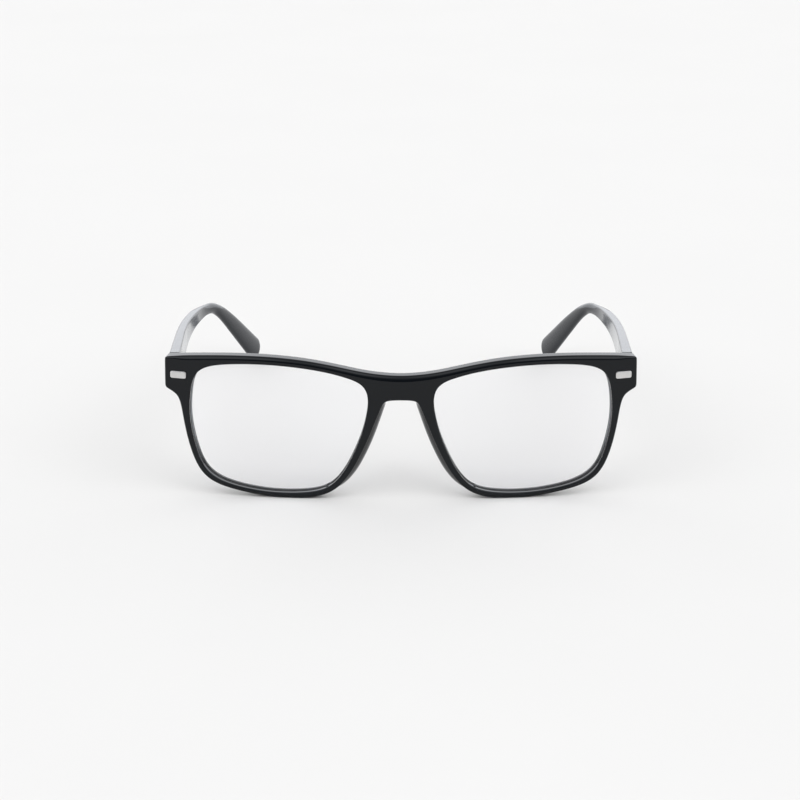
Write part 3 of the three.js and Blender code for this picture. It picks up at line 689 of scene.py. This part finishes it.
def front_shell():
    s = Shell()
    upward = OUTER.n[:, 1]
    top = smoothstep(0.25, 0.95, upward)
    wanted = 0.62 + 0.58 * top
    rf = edge_radii(OUTER, wanted)
    # the top edge is rolled over further down the face towards the bridge
    tall = rf * (1 + (0.25 + 0.75 * np.exp(-((OUTER.p[:, 0] / 17) ** 2))) * top)
    rb = edge_radii(OUTER, np.full(len(upward), 0.5))
    hold = 0.07
    outer = [(-tall + tall * math.sin(math.pi / 2 * i / 12), rf - rf * math.cos(math.pi / 2 * i / 12)) for i in range(13)]
    outer += [(0 * rf, rf + hold), (0 * rf, (rf + FRONT_THICKNESS - rb) / 2), (0 * rb, FRONT_THICKNESS - rb - hold)]
    outer += quarter(OUTER, rb, 5, False)
    first = s.tube([OUTER.at(e, d) for e, d in outer])
    holes = [HOLE, HOLE.mirror()]
    ro, g = 0.42, GROOVE
    zero = np.zeros(len(HOLE.p))
    inner = [(zero + ro - ro * math.sin(math.pi / 2 * i / 6), zero + ro - ro * math.cos(math.pi / 2 * i / 6)) for i in range(7)]
    inner += [(zero, zero + ro + 0.06), (zero, zero + g["front"] - 0.05), (zero + 0.06, zero + g["front"])]
    inner += [(zero + g["depth"], zero + g["apex"]), (zero + 0.06, zero + g["back"]), (zero, zero + g["back"] + 0.05)]
    rr = 0.45
    inner += [(zero, zero + FRONT_THICKNESS - rr - 0.06)]
    inner += [(zero + rr - rr * math.cos(math.pi / 2 * i / 5), zero + FRONT_THICKNESS - rr + rr * math.sin(math.pi / 2 * i / 5)) for i in range(6)]
    hs = [s.tube([h.at(e, d) for e, d in inner], turn=True) for h in holes]
    for end, depth, turn in ((0, 0.0, False), (-1, FRONT_THICKNESS, True)):
        rings = [OUTER.flat(outer[end][0])] + [h.flat(inner[end][0]) for h in holes]
        holds = [OUTER.flat(outer[end][0] - hold)] + [h.flat(inner[end][0] + hold) for h in holes]
        s.close([first[end]] + [h[end] for h in hs], rings, lambda q, depth=depth: bend(q[:, 0], q[:, 1], depth), 1.5, turn, holds)
    return s.outward()


def in_xz(shell, y):
    """Turns a block standing on z into one standing along y, its outline in the x-z plane."""
    p = shell.points()
    shell.v = [np.column_stack([p[:, 0], y + p[:, 2], p[:, 1]])]
    return shell.outward()


def lug_shell():
    w, h = LUG["x1"] - LUG["x0"], LUG["z1"] - LUG["z0"]
    ring = rounded_rectangle(w, h, 0.9, 8)
    ring.p += [LUG["x0"] + w / 2, LUG["z0"] + h / 2]
    r = 0.3
    depth = LUG["back"] - 7.4
    profile = [(0.0, 0.0), (0.0, depth - r - 0.05)] + [(-r + r * math.cos(math.pi / 2 * i / 5), depth - r + r * math.sin(math.pi / 2 * i / 5)) for i in range(6)]
    return in_xz(prism(ring, [], profile, spacing=0), 7.4)


def pocket_shell():
    x0, x1 = FRONT_LEAF["x0"] - LEAF_GAP, FRONT_LEAF["x1"] + LEAF_GAP
    z0, z1 = HINGE["z0"] - LEAF_GAP, STACK_TOP + LEAF_GAP
    ring = rounded_rectangle(x1 - x0, z1 - z0, 0.45 + LEAF_GAP, 6)
    ring.p += [(x0 + x1) / 2, (z0 + z1) / 2]
    y0 = FRONT_LEAF["y0"] - LEAF_GAP
    deep = LUG["back"] - y0
    return in_xz(prism(ring, [], [(0.0, 0.0), (0.0, deep - 0.06), (0.12, deep + 0.06), (0.12, deep + 1.0)]), y0)


def plaque_matrix(side):
    a = side * PLAQUE["along"] / BEND_RADIUS
    x, y, z = bend(side * PLAQUE["along"], PLAQUE["z"], 0.0)
    return Matrix.Translation((x, y, z)) @ Matrix.Rotation(a, 4, "Z") @ Matrix.Rotation(-side * math.radians(PLAQUE["tilt"]), 4, "Y")


def plaque_seat(side):
    ring = rounded_rectangle(PLAQUE["w"] + 2 * PLAQUE_GAP, PLAQUE["h"] + 2 * PLAQUE_GAP, PLAQUE["r"] + PLAQUE_GAP, 6)
    floor = PLAQUE["t"] - PLAQUE["proud"] + PLAQUE_GAP
    block = prism(ring, [], [(0.0, 0.0), (0.0, 0.7 + floor)])
    p = block.points()
    block.v = [np.column_stack([p[:, 0], floor - p[:, 2], p[:, 1]])]
    made = [Shell().add(block.outward(), plaque_matrix(side)).outward()]
    for x in (-PLAQUE["stud_x"], PLAQUE["stud_x"]):
        hole = prism(circle(0, 0, PLAQUE["stud_r"] + PLAQUE_GAP, 20), [], [(0.0, 0.0), (0.0, PLAQUE["stud_len"] + PLAQUE_GAP + 0.4)])
        p = hole.points()
        hole.v = [np.column_stack([p[:, 0] + x, floor - 0.3 + p[:, 2], p[:, 1]])]
        made.append(Shell().add(hole.outward(), plaque_matrix(side)).outward())
    return made


def plaque_piece(side):
    """A satin plate with a bevelled border and a barely domed face, on two studs."""
    P = PLAQUE
    s = Shell()
    ring = rounded_rectangle(P["w"], P["h"], P["r"], 8, 10)
    top = P["t"]
    levels = [(-0.04, 0.0), (0.0, 0.04), (0.0, top - 0.17), (-0.015, top - 0.135)]
    levels += [(-0.24, top - 0.045), (-0.27, top - 0.036)]
    out = [np.column_stack([ring.flat(e), np.full(len(ring.p), z)]) for e, z in levels]
    core = ring.flat(-0.27)
    for share in (0.94, 0.8, 0.6, 0.4, 0.2):
        q = core * share
        out.append(np.column_stack([q, np.full(len(q), top - 0.036 + 0.0216 * (1 - share**2))]))
    first = s.tube(out, turn=True)
    n = len(ring.p)
    s.fan(first[0], n, [0, 0, 0], turn=True)
    s.fan(first[-1], n, [0, 0, top - 0.036 + 0.0216], turn=False)
    p = s.points()
    s.v = [np.column_stack([p[:, 0], P["t"] - P["proud"] - p[:, 2], p[:, 1]])]
    s.outward()
    made = Shell().add(s, plaque_matrix(side))
    for x in (-P["stud_x"], P["stud_x"]):
        ring2 = circle(0, 0, P["stud_r"], 20)
        stud = prism(ring2, [], [(0.0, 0.0), (0.0, P["stud_len"] + 0.1), (-0.1, P["stud_len"] + 0.2)])
        q = stud.points()
        stud.v = [np.column_stack([q[:, 0] + x, P["t"] - P["proud"] - 0.2 + q[:, 2], q[:, 1]])]
        made.add(stud.outward(), plaque_matrix(side))
    return made


front = link("front_frame_acetate", mesh_of(front_shell(), "front_frame_acetate"))
for side, _ in SIDES:
    boolean(front, lug_shell(), "UNION", side < 0)
for side, _ in SIDES:
    boolean(front, pocket_shell(), "DIFFERENCE", side < 0)
    for cutter in plaque_seat(side):
        boolean(front, cutter, "DIFFERENCE")
finished(front, FRONT_PLASTIC, "front", ["front_frame"])

for side, name in SIDES:
    o = link(name + "_plaque_satin", mesh_of(plaque_piece(side), name + "_plaque_satin"))
    finished(o, PLAQUE_METAL, "front", [name + "_front_plaque"], 25)


# ------------------------------------------------------------------ lenses
def lens_shell():
    L = LENS
    back = L["front"] + L["thickness"]
    c = L["clearance"]
    rim = HOLE.flat(-c)
    free, tris = cap([rim], 1.1)
    p = np.vstack([rim, free])
    n, edge = len(p), len(rim)
    # a membrane under even pressure: a smooth dome that dies away at the edge
    K = np.zeros((n, n))
    f = np.zeros(n)
    for t in tris:
        q = p[t]
        area = 0.5 * abs(np.cross(q[1] - q[0], q[2] - q[0]))
        g = np.array([[q[1][1] - q[2][1], q[2][0] - q[1][0]], [q[2][1] - q[0][1], q[0][0] - q[2][0]], [q[0][1] - q[1][1], q[1][0] - q[0][0]]]) / (2 * area)
        K[np.ix_(t, t)] += area * g @ g.T
        f[t] += area / 3
    u = np.zeros(n)
    u[edge:] = np.linalg.solve(K[edge:, edge:], f[edge:])
    u /= u.max()
    s = Shell()
    profile = [(-c, L["front"]), (-c, L["front"] + 0.06), (-c, L["front"] + 0.18), (L["bevel"], GROOVE["apex"] + 0.1), (-c, back - 0.18), (-c, back - 0.06), (-c, back)]
    zero = np.zeros(edge)
    first = s.tube([HOLE.at(zero + e, zero + d) for e, d in profile])
    for end, depth, turn in ((0, L["front"], False), (-1, back, True)):
        start = s.put(bend(free[:, 0], free[:, 1], depth - L["bulge"] * u[edge:]))
        index = np.concatenate([np.arange(first[end], first[end] + edge), np.arange(start, start + len(free))])
        for t in index[tris].tolist():
            s.f.append(tuple(reversed(t)) if turn else tuple(t))
    return s.outward()


LENS_SHELL = lens_shell()
for side, name in SIDES:
    o = link(name + "_lens_clear", mesh_of(LENS_SHELL, name + "_lens_clear", side < 0))
    finished(o, LENS_CLEAR, "front", [name + "_lens"], 28)
    o.data.materials.append(PAINTED_LENS_EDGE)  # the edge in the groove gets a painted refraction of the black rim, with painted shade along its bottom
    for f in o.data.polygons:
        if len(f.vertices) == 4:
            f.material_index = 1


# ------------------------------------------------------------------ nose pads
def pad_shell():
    """Moulded pad: sections along the nasal edge, each a soft closed curve."""
    sel = (OUTER.p[:, 0] > 2.6) & (OUTER.p[:, 0] < 24) & (OUTER.p[:, 1] < 31.55)
    run = OUTER.p[sel]
    nor = OUTER.n[sel]
    order = np.argsort(run[:, 1])
    run, nor = run[order], nor[order]
    stations = spline(PAD_STATIONS, False, 12)
    rings = []
    for z, p, reach in stations:
        q = np.array([np.interp(z, run[:, 1], run[:, 0]), z])
        m = np.array([np.interp(z, run[:, 1], nor[:, 0]), np.interp(z, run[:, 1], nor[:, 1])])
        m /= np.linalg.norm(m)
        back = FRONT_THICKNESS + 0.12
        crest = PAD["crest"]
        span = reach - crest
        tip = p - PAD["splay"] * span * 0.92
        within = max(-PAD["inset"], min(-0.75, tip - PAD["thickness"]))
        section = [
            [PAD["gap"], PAD["front"]],
            [0.42 * p + 0.03, 1.6],
            [0.78 * p + 0.01, 2.5],
            [p, crest],
            [p - PAD["splay"] * span * 0.33, crest + span * 0.35],
            [p - PAD["splay"] * span * 0.68, crest + span * 0.7],
            [tip, crest + span * 0.93],
            [tip - 0.5, reach],
            [tip - 1.1, reach - 0.12 * span],
            [within, max(back + 0.1, reach - 0.3 * span)],
            [-0.75, back],
            [PAD["gap"], back],
        ]
        section = [[max(e, PAD["gap"] + 0.06) if 2 < i < 6 and d < back + 0.4 else e, d] for i, (e, d) in enumerate(section)]
        # the outer run is a smooth curve, the run against the rim stays straight
        outer = spline(section[:10], False, 5)
        inner = np.array(section[10:])
        loop = np.vstack([outer, inner])
        flat = q + loop[:, :1] * m
        rings.append(bend(flat[:, 0], flat[:, 1], loop[:, 1]))
    s = Shell()
    first = s.tube(rings)
    n = len(rings[0])
    for end, turn in ((0, False), (-1, True)):
        s.fan(first[end], n, rings[end].mean(0), turn)
    return s.outward()


PAD_SHELL = pad_shell()
for side, name in SIDES:
    o = link(name + "_nose_pad_moulded", mesh_of(PAD_SHELL, name + "_nose_pad_moulded", side < 0))
    finished(o, PAD_PLASTIC, "front", [name + "_nose_pad"], 40)


# ------------------------------------------------------------------ temples
def temple_stations(spacing=0.5, sigma=1.1):
    path = spline([q[:3] for q in TEMPLE_PATH], False, 60)
    size = spline([q[3:] for q in TEMPLE_PATH], False, 60, 0.0)
    station = np.arange(len(path)) / 60
    s = np.concatenate([[0], np.cumsum(np.linalg.norm(np.diff(path, axis=0), axis=1))])
    fine = np.linspace(0, s[-1], int(s[-1] / 0.1))
    cols = np.column_stack([path, size])
    v = np.column_stack([np.interp(fine, s, cols[:, k]) for k in range(5)])
    st = np.interp(fine, s, station)
    # blur along the length; the ends are carried on by reflection, so they stay put
    half = int(4 * sigma / 0.1)
    w = np.exp(-0.5 * (np.arange(-half, half + 1) * 0.1 / sigma) ** 2)
    w /= w.sum()
    ext = np.vstack([2 * v[0] - v[half:0:-1], v, 2 * v[-1] - v[-2 : -half - 2 : -1]])
    v = np.column_stack([np.convolve(ext[:, k], w, "valid") for k in range(5)])
    n = int(s[-1] / spacing)
    end = np.cumsum([0.0] + [0.06, 0.08, 0.1, 0.12, 0.14, 0.16, 0.2, 0.25, 0.3, 0.4])
    pos = np.concatenate([[0.0, 0.05, 0.12, 0.2, 0.3], np.linspace(0.6, s[-1] - end[-1] - 0.3, n), s[-1] - end[::-1]])
    cols = [np.interp(pos, fine, v[:, k]) for k in range(5)]
    tangent = np.gradient(v[:, :3], axis=0)
    tangent /= np.linalg.norm(tangent, axis=1)[:, None]
    tan = np.column_stack([np.interp(pos, fine, tangent[:, k]) for k in range(3)])
    return np.column_stack(cols), tan, np.interp(pos, fine, st), s[-1] - pos, pos


def temple_frames():
    v, tan, st, left, pos = temple_stations()
    out = []
    for q, t, station, rest, along in zip(v, tan, st, left, pos):
        b = min(1.0, station / 1.5)
        t = t * b + np.array([0, 1, 0]) * (1 - b)
        t /= np.linalg.norm(t)
        side = np.cross(t, [0, 0, 1])
        side /= np.linalg.norm(side)
        up = np.cross(side, t)
        out.append((q[:3], side, up, q[3], q[4], station, rest, along))
    return out


def temple_shell():
    rings = []
    for c, side, up, h, w, station, rest, along in temple_frames():
        l1 = max(0.0, 1 - rest / TIP_ROUND)
        l2 = max(0.0, 1 - rest / TIP_WIDTH_ROUND)
        hh = h * (0.56 + 0.44 * math.sqrt(1 - l1 * l1))
        ww = w * (0.5 + 0.5 * math.sqrt(1 - l2 * l2))
        paddle = 0.3 * float(smoothstep(9.0, 11.0, station)) * min(1.0, rest / 2.0)
        crest = float(smoothstep(7.6, 9.6, station) * (1 - smoothstep(9.8, 12.4, station)))
        drop = (h - hh) * 0.22 - paddle / 2 - 0.1 * crest
        hh += paddle + 0.2 * crest
        ww += 0.12 * crest
        edge = 0.45
        inset = edge - math.sqrt(max(0.0, edge**2 - max(0.0, edge - rest) ** 2)) if rest < edge else 0.0
        butt = 0.16
        if along < butt:
            inset = max(inset, butt - math.sqrt(max(0.0, butt**2 - (butt - along) ** 2)))
        hh, ww = hh - 2 * inset, ww - 2 * inset
        r = min(TEMPLE_CORNER, ww * 0.42)
        ring = rounded_rectangle(ww, hh, r, 9, 8)
        x, z = ring.p[:, 0].copy(), ring.p[:, 1].copy()
        # the outer face is very slightly crowned along the arm, and the tip is a soft paddle
        x += np.where(x > 0, 0.08, 0.03) * np.sign(x) * (1 - np.clip(np.abs(z) / (hh / 2), 0, 1) ** 2) * min(1.0, along / 3)
        soft = float(smoothstep(5.6, 8.6, station))
        if soft > 0:
            a = np.arctan2(z / (hh / 2), x / (ww / 2))
            e = 2 / 2.12
            ox = ww / 2 * np.sign(np.cos(a)) * np.abs(np.cos(a)) ** e
            oz = hh / 2 * np.sign(np.sin(a)) * np.abs(np.sin(a)) ** e
            x, z = x + soft * (ox - x), z + soft * (oz - z)
        z = z - drop
        roll = math.radians(22.0) * float(smoothstep(5.6, 9.0, station) * (1 - smoothstep(9.2, 12.6, station)))
        x, z = x * math.cos(roll) + z * math.sin(roll), -x * math.sin(roll) + z * math.cos(roll)
        rings.append(c + x[:, None] * side + z[:, None] * up)
    s = Shell()
    first = s.tube(rings)
    n = len(rings[0])
    s.fan(first[0], n, rings[0].mean(0), False)
    s.fan(first[-1], n, rings[-1].mean(0), True)
    return s.outward()


def rod_shell(r, start, end, sides=20, before=0.0, round_ends=True):
    rings = []
    frames = [f for f in temple_frames() if start <= f[5] <= end]
    first_c = frames[0][0]
    if before:
        c, side, up = frames[0][:3]
        rings.append((c - np.array([0, before, 0]), side, up, 1.0))
    for c, side, up, *_ in frames:
        rings.append((c, side, up, 1.0))
    a = (np.arange(sides) + 0.5) / sides * 2 * math.pi
    out = [c + k * r * (np.cos(a)[:, None] * side + np.sin(a)[:, None] * up) for c, side, up, k in rings]
    s = Shell()
    first = s.tube(out)
    s.fan(first[0], sides, out[0].mean(0), False)
    s.fan(first[-1], sides, out[-1].mean(0), True)
    return s.outward()


HINGE_MATRIX = Matrix.Translation((HINGE["x"], HINGE["y"], 0)) @ Matrix.Rotation(-math.radians(HINGE["splay"]), 4, "Z")


def recess_shell():
    L, g = TEMPLE_LEAF, LEAF_GAP
    y1, z0, z1 = L["y1"] + g, L["z0"] - g, L["z1"] + g
    ring = rounded_rectangle(y1 + 8, z1 - z0, 0.5 + g, 6)
    ring.p += [(y1 - 8) / 2, (z0 + z1) / 2]
    block = prism(ring, [], [(0.0, 0.0), (0.0, 1.5 + g + L["x1"] - L["x0"])])
    p = block.points()
    block.v = [np.column_stack([L["x0"] - 1.5 + p[:, 2], p[:, 0], p[:, 1]])]
    return Shell().add(block.outward(), HINGE_MATRIX).outward()


TEMPLE_SHELL = temple_shell()
CHANNEL_SHELL = rod_shell(WIRE["channel_r"], 0.0, WIRE["end"] + 0.3, 20, before=1.0)
WIRE_SHELL = rod_shell(WIRE["r"], WIRE["start"], WIRE["end"], 20)
RECESS_SHELL = recess_shell()
for side, name in SIDES:
    body = name + "_temple_arm"
    o = link(name + "_temple_acetate", mesh_of(TEMPLE_SHELL, name + "_temple_acetate", side < 0))
    boolean(o, CHANNEL_SHELL, "DIFFERENCE", side < 0)
    boolean(o, RECESS_SHELL, "DIFFERENCE", side < 0)
    finished(o, TEMPLE_PLASTIC, body, [name + "_temple"])
    o = link(name + "_core_wire_drawn", mesh_of(WIRE_SHELL, name + "_core_wire_drawn", side < 0))
    finished(o, WIRE_STEEL, body, [name + "_core_wire"])


# ------------------------------------------------------------------ hinges
def barrel_outline(web_angle, half, reach, sides=44):
    """Anticlockwise outline of a knuckle: a barrel with a web that leaves it at web_angle."""
    R = HINGE["barrel_r"]
    a0 = math.asin(half / R)
    a = np.linspace(a0, 2 * math.pi - a0, sides)
    p = np.column_stack([R * np.cos(a), R * np.sin(a)])
    p = np.vstack([p, [[reach, -half], [reach, half]]])
    n = np.column_stack([np.cos(a), np.sin(a)])
    n = np.vstack([n, [[0, -1], [0, 1]]])
    c, s = math.cos(web_angle), math.sin(web_angle)
    rot = np.array([[c, -s], [s, c]])
    return Ring(p @ rot.T, n @ rot.T)


def knuckle(k, web_angle, half, reach):
    z = barrel_z(k)
    c = 0.1
    top = HINGE["barrel"]
    profile = [(-c, 0.0), (-c * 0.3, c * 0.3), (0.0, c), (0.0, top - c), (-c * 0.3, top - c * 0.3), (-c, top)]
    bore = circle(0, 0, HINGE["bore_r"], 28)
    block = prism(barrel_outline(web_angle, half, reach), [bore], profile, [(-0.06, 0.0), (0.0, 0.06), (0.0, top - 0.06), (-0.06, top)])
    block.v = [block.points() + [0, 0, z]]
    return block


def rivet(x, z, r, rise):
    """A low domed rivet end, standing along +z of its own frame."""
    profile = [(0.0, -0.25), (0.0, rise * 0.35), (-r * 0.12, rise * 0.75), (-r * 0.4, rise * 0.96), (-r * 0.7, rise)]
    b = prism(circle(x, z, r, 28), [], profile)
    return b


def front_leaf_shell():
    F = FRONT_LEAF
    w, h = F["x1"] - F["x0"], STACK_TOP - HINGE["z0"]
    ring = rounded_rectangle(w, h, 0.45, 6)
    ring.p += [(F["x0"] + F["x1"]) / 2, (HINGE["z0"] + STACK_TOP) / 2]
    t = F["y1"] - F["y0"]
    made = in_xz(prism(ring, [], [(0.0, 0.0), (0.0, t - 0.1), (-0.04, t - 0.03), (-0.12, t)]), F["y0"])
    for z in (HINGE["z0"] + 1.7, STACK_TOP - 1.7):
        made.add(in_xz(rivet(67.2, z, 0.62, 0.07), F["y1"]))
    for k in (0, 2, 4):
        made.add(knuckle(k, -math.pi / 2, 0.85, HINGE["y"] - F["y1"] + 0.4), Matrix.Translation((HINGE["x"], HINGE["y"], 0)))
    return made


def temple_leaf_shell():
    L = TEMPLE_LEAF
    w, h = L["y1"] - L["y0"], L["z1"] - L["z0"]
    ring = rounded_rectangle(w, h, 0.5, 6)
    ring.p += [(L["y0"] + L["y1"]) / 2, (L["z0"] + L["z1"]) / 2]
    t = L["x1"] - L["x0"]
    plate = prism(ring, [], [(0.0, 0.0), (0.0, t - 0.1), (-0.04, t - 0.03), (-0.12, t)])
    for y in (4.3, 7.7):
        plate.add(Shell().add(rivet(y, (L["z0"] + L["z1"]) / 2, 0.7, 0.08), Matrix.Translation((0, 0, t))))
    p = plate.points()
    plate.v = [np.column_stack([L["x1"] - p[:, 2], p[:, 0], p[:, 1]])]
    plate.outward()
    made = Shell().add(plate, HINGE_MATRIX)
    for k in (1, 3):
        made.add(knuckle(k, 0.0, 0.65, L["x0"] + 0.4), HINGE_MATRIX)
    return made


def screw_shell():
    S = SCREW
    top = STACK_TOP + 0.1
    z0 = HINGE["z0"] - 0.3
    prof = [(S["r"] - 0.2, z0), (S["r"] - 0.15, z0), (S["r"], z0 + 0.2)]
    zz = z0 + 0.2
    # the shank is plain from its chamfered foot up to the head
    prof += [(S["r"], top - 0.02), (S["head_r"] - 0.06, top), (S["head_r"], top + 0.06), (S["head_r"], top + S["head"] * 0.5)]
    for i in range(1, 7):
        a = math.pi / 2 * i / 6
        prof.append((S["head_r"] * (1 - 0.25 * (1 - math.cos(a))), top + S["head"] * (0.5 + 0.5 * math.sin(a))))
    s = Shell()
    n = 48
    a = np.arange(n) / n * 2 * math.pi
    rings = [np.column_stack([HINGE["x"] + r * np.cos(a), HINGE["y"] + r * np.sin(a), np.full(n, z)]) for r, z in prof]
    first = s.tube(rings, turn=True)
    s.fan(first[0], n, [HINGE["x"], HINGE["y"], z0], True)
    s.fan(first[-1], n, [HINGE["x"], HINGE["y"], top + S["head"]], False)
    return s.outward()


def slot_shell():
    S = SCREW
    top = STACK_TOP + 0.1 + S["head"]
    ring = rounded_rectangle(4.0, S["slot_w"], 0.04, 3)
    block = prism(ring, [], [(0.0, 0.0), (0.0, 1.5)])
    m = Matrix.Translation((HINGE["x"], HINGE["y"], top - S["slot_d"])) @ Matrix.Rotation(0.5, 4, "Z")
    return Shell().add(block, m).outward()


for side, name in SIDES:
    o = link(name + "_front_hinge_nickel", mesh_of(front_leaf_shell(), name + "_front_hinge_nickel", side < 0))
    finished(o, HINGE_STEEL, "front", [name + "_front_hinge_leaf"], 30)
    o = link(name + "_temple_hinge_nickel", mesh_of(temple_leaf_shell(), name + "_temple_hinge_nickel", side < 0))
    finished(o, HINGE_STEEL, name + "_temple_arm", [name + "_temple_hinge_leaf"], 30)
    o = link(name + "_hinge_screw_slotted", mesh_of(screw_shell(), name + "_hinge_screw_slotted", side < 0))
    boolean(o, slot_shell(), "DIFFERENCE", side < 0)
    finished(o, SCREW_STEEL[side], "front", [name + "_hinge_screw"], 30)


# ------------------------------------------------------------------ floor, light and camera
def floor():
    bm = bmesh.new()
    size, cuts = 9.0, 12
    for i in range(cuts + 1):
        for j in range(cuts + 1):
            bm.verts.new((size * (i / cuts - 0.5), size * (j / cuts - 0.5), 0))
    bm.verts.ensure_lookup_table()
    for i in range(cuts):
        for j in range(cuts):
            k = i * (cuts + 1) + j
            bm.faces.new([bm.verts[q] for q in (k, k + cuts + 1, k + cuts + 2, k + 1)])
    me = bpy.data.meshes.new("floor")
    bm.to_mesh(me)
    bm.free()
    o = link("floor", me)
    m = bpy.data.materials.new("floor_paper")
    nt, s, _ = nodes_of(m)
    v = object_space(nt)
    n = noise(nt, v, 9.0, 3.0, 0.5)
    nt.links.new(ramp(nt, n, [(0.3, (0.764, 0.750, 0.725)), (0.7, (0.772, 0.758, 0.733))]), s.inputs["Base Color"])
    s.inputs["Roughness"].default_value = 0.9
    s.inputs["Specular IOR Level"].default_value = 0.0
    me.materials.append(m)
    return o


floor()

world = bpy.data.worlds.new("studio")
bpy.context.scene.world = world
world.use_nodes = True
wt = world.node_tree
wt.nodes.clear()


def world_light():
    """A white studio by direction: an even base, a tall soft wall of light behind the table and a soft box above and in front."""
    t = new(wt, "ShaderNodeTexCoord")
    sep = new(wt, "ShaderNodeSeparateXYZ")
    wt.links.new(t.outputs["Generated"], sep.inputs[0])
    x, y, z = sep.outputs

    def step(value, a, b):
        n = new(wt, "ShaderNodeMapRange", interpolation_type="SMOOTHSTEP")
        n.inputs["From Min"].default_value, n.inputs["From Max"].default_value = a, b
        wt.links.new(value, n.inputs["Value"])
        return n.outputs["Result"]

    def mul(a, b):
        return combine(wt, "MULTIPLY", a, b)

    def toward(d):
        d = Vector(d).normalized()
        total = combine(wt, "ADD", mul(x, d.x), combine(wt, "ADD", mul(y, d.y), mul(z, d.z)))
        return total

    def invert(v):
        return combine(wt, "SUBTRACT", 1.0, v)

    across = combine(wt, "ABSOLUTE", x, 0)
    rear = mul(mul(step(y, 0.25, 0.8), invert(step(z, 0.45, 0.75))), REAR)
    rear = mul(rear, spread(wt, step(z, 0.0, 0.3), 0.62, 1.0))
    rear = mul(rear, spread(wt, step(across, 0.0, 0.28), 0.82, 1.0))
    boxes = combine(wt, "ADD", mul(step(toward(BOX_LEFT), 0.82, 0.95), BOX[0]), mul(step(toward(BOX_RIGHT), 0.82, 0.95), BOX[1]))
    dim = mul(mul(step(combine(wt, "MULTIPLY", y, -1.0), 0.5, 0.93), invert(step(z, 0.3, 0.62))), -FRONT_DIM)
    side = mul(mul(step(across, 0.35, 0.8), invert(step(z, 0.12, 0.4))), SIDE)
    total = combine(wt, "ADD", combine(wt, "ADD", rear, boxes), combine(wt, "ADD", combine(wt, "ADD", dim, side), BASE))
    bg = new(wt, "ShaderNodeBackground")
    bg.inputs["Color"].default_value = (0.975, 0.992, 1.025, 1)
    wt.links.new(total, bg.inputs["Strength"])
    out = new(wt, "ShaderNodeOutputWorld")
    wt.links.new(bg.outputs[0], out.inputs["Surface"])


BASE, REAR, SIDE, FRONT_DIM = 0.72, 1.68, 0.2, 0.52
BOX = (1.15, 1.45)
BOX_LEFT, BOX_RIGHT = (-0.52, -0.52, 0.70), (0.52, -0.52, 0.70)
world_light()

CAMERA_DISTANCE, CAMERA_DOWN, AIM_Z = 550.0, math.radians(20), 32.0
cam = bpy.data.cameras.new("camera")
cam.lens, cam.sensor_width = 83.82, 36.0
co = bpy.data.objects.new("camera", cam)
bpy.context.scene.collection.objects.link(co)
co.location = Vector((-0.26, YF - CAMERA_DISTANCE * math.cos(CAMERA_DOWN), AIM_Z + CAMERA_DISTANCE * math.sin(CAMERA_DOWN))) * MM
co.rotation_euler = (math.pi / 2 - CAMERA_DOWN, 0, 0)
bpy.context.scene.camera = co
bpy.context.scene.view_settings.view_transform = "Standard"
bpy.context.scene.view_settings.look = "None"
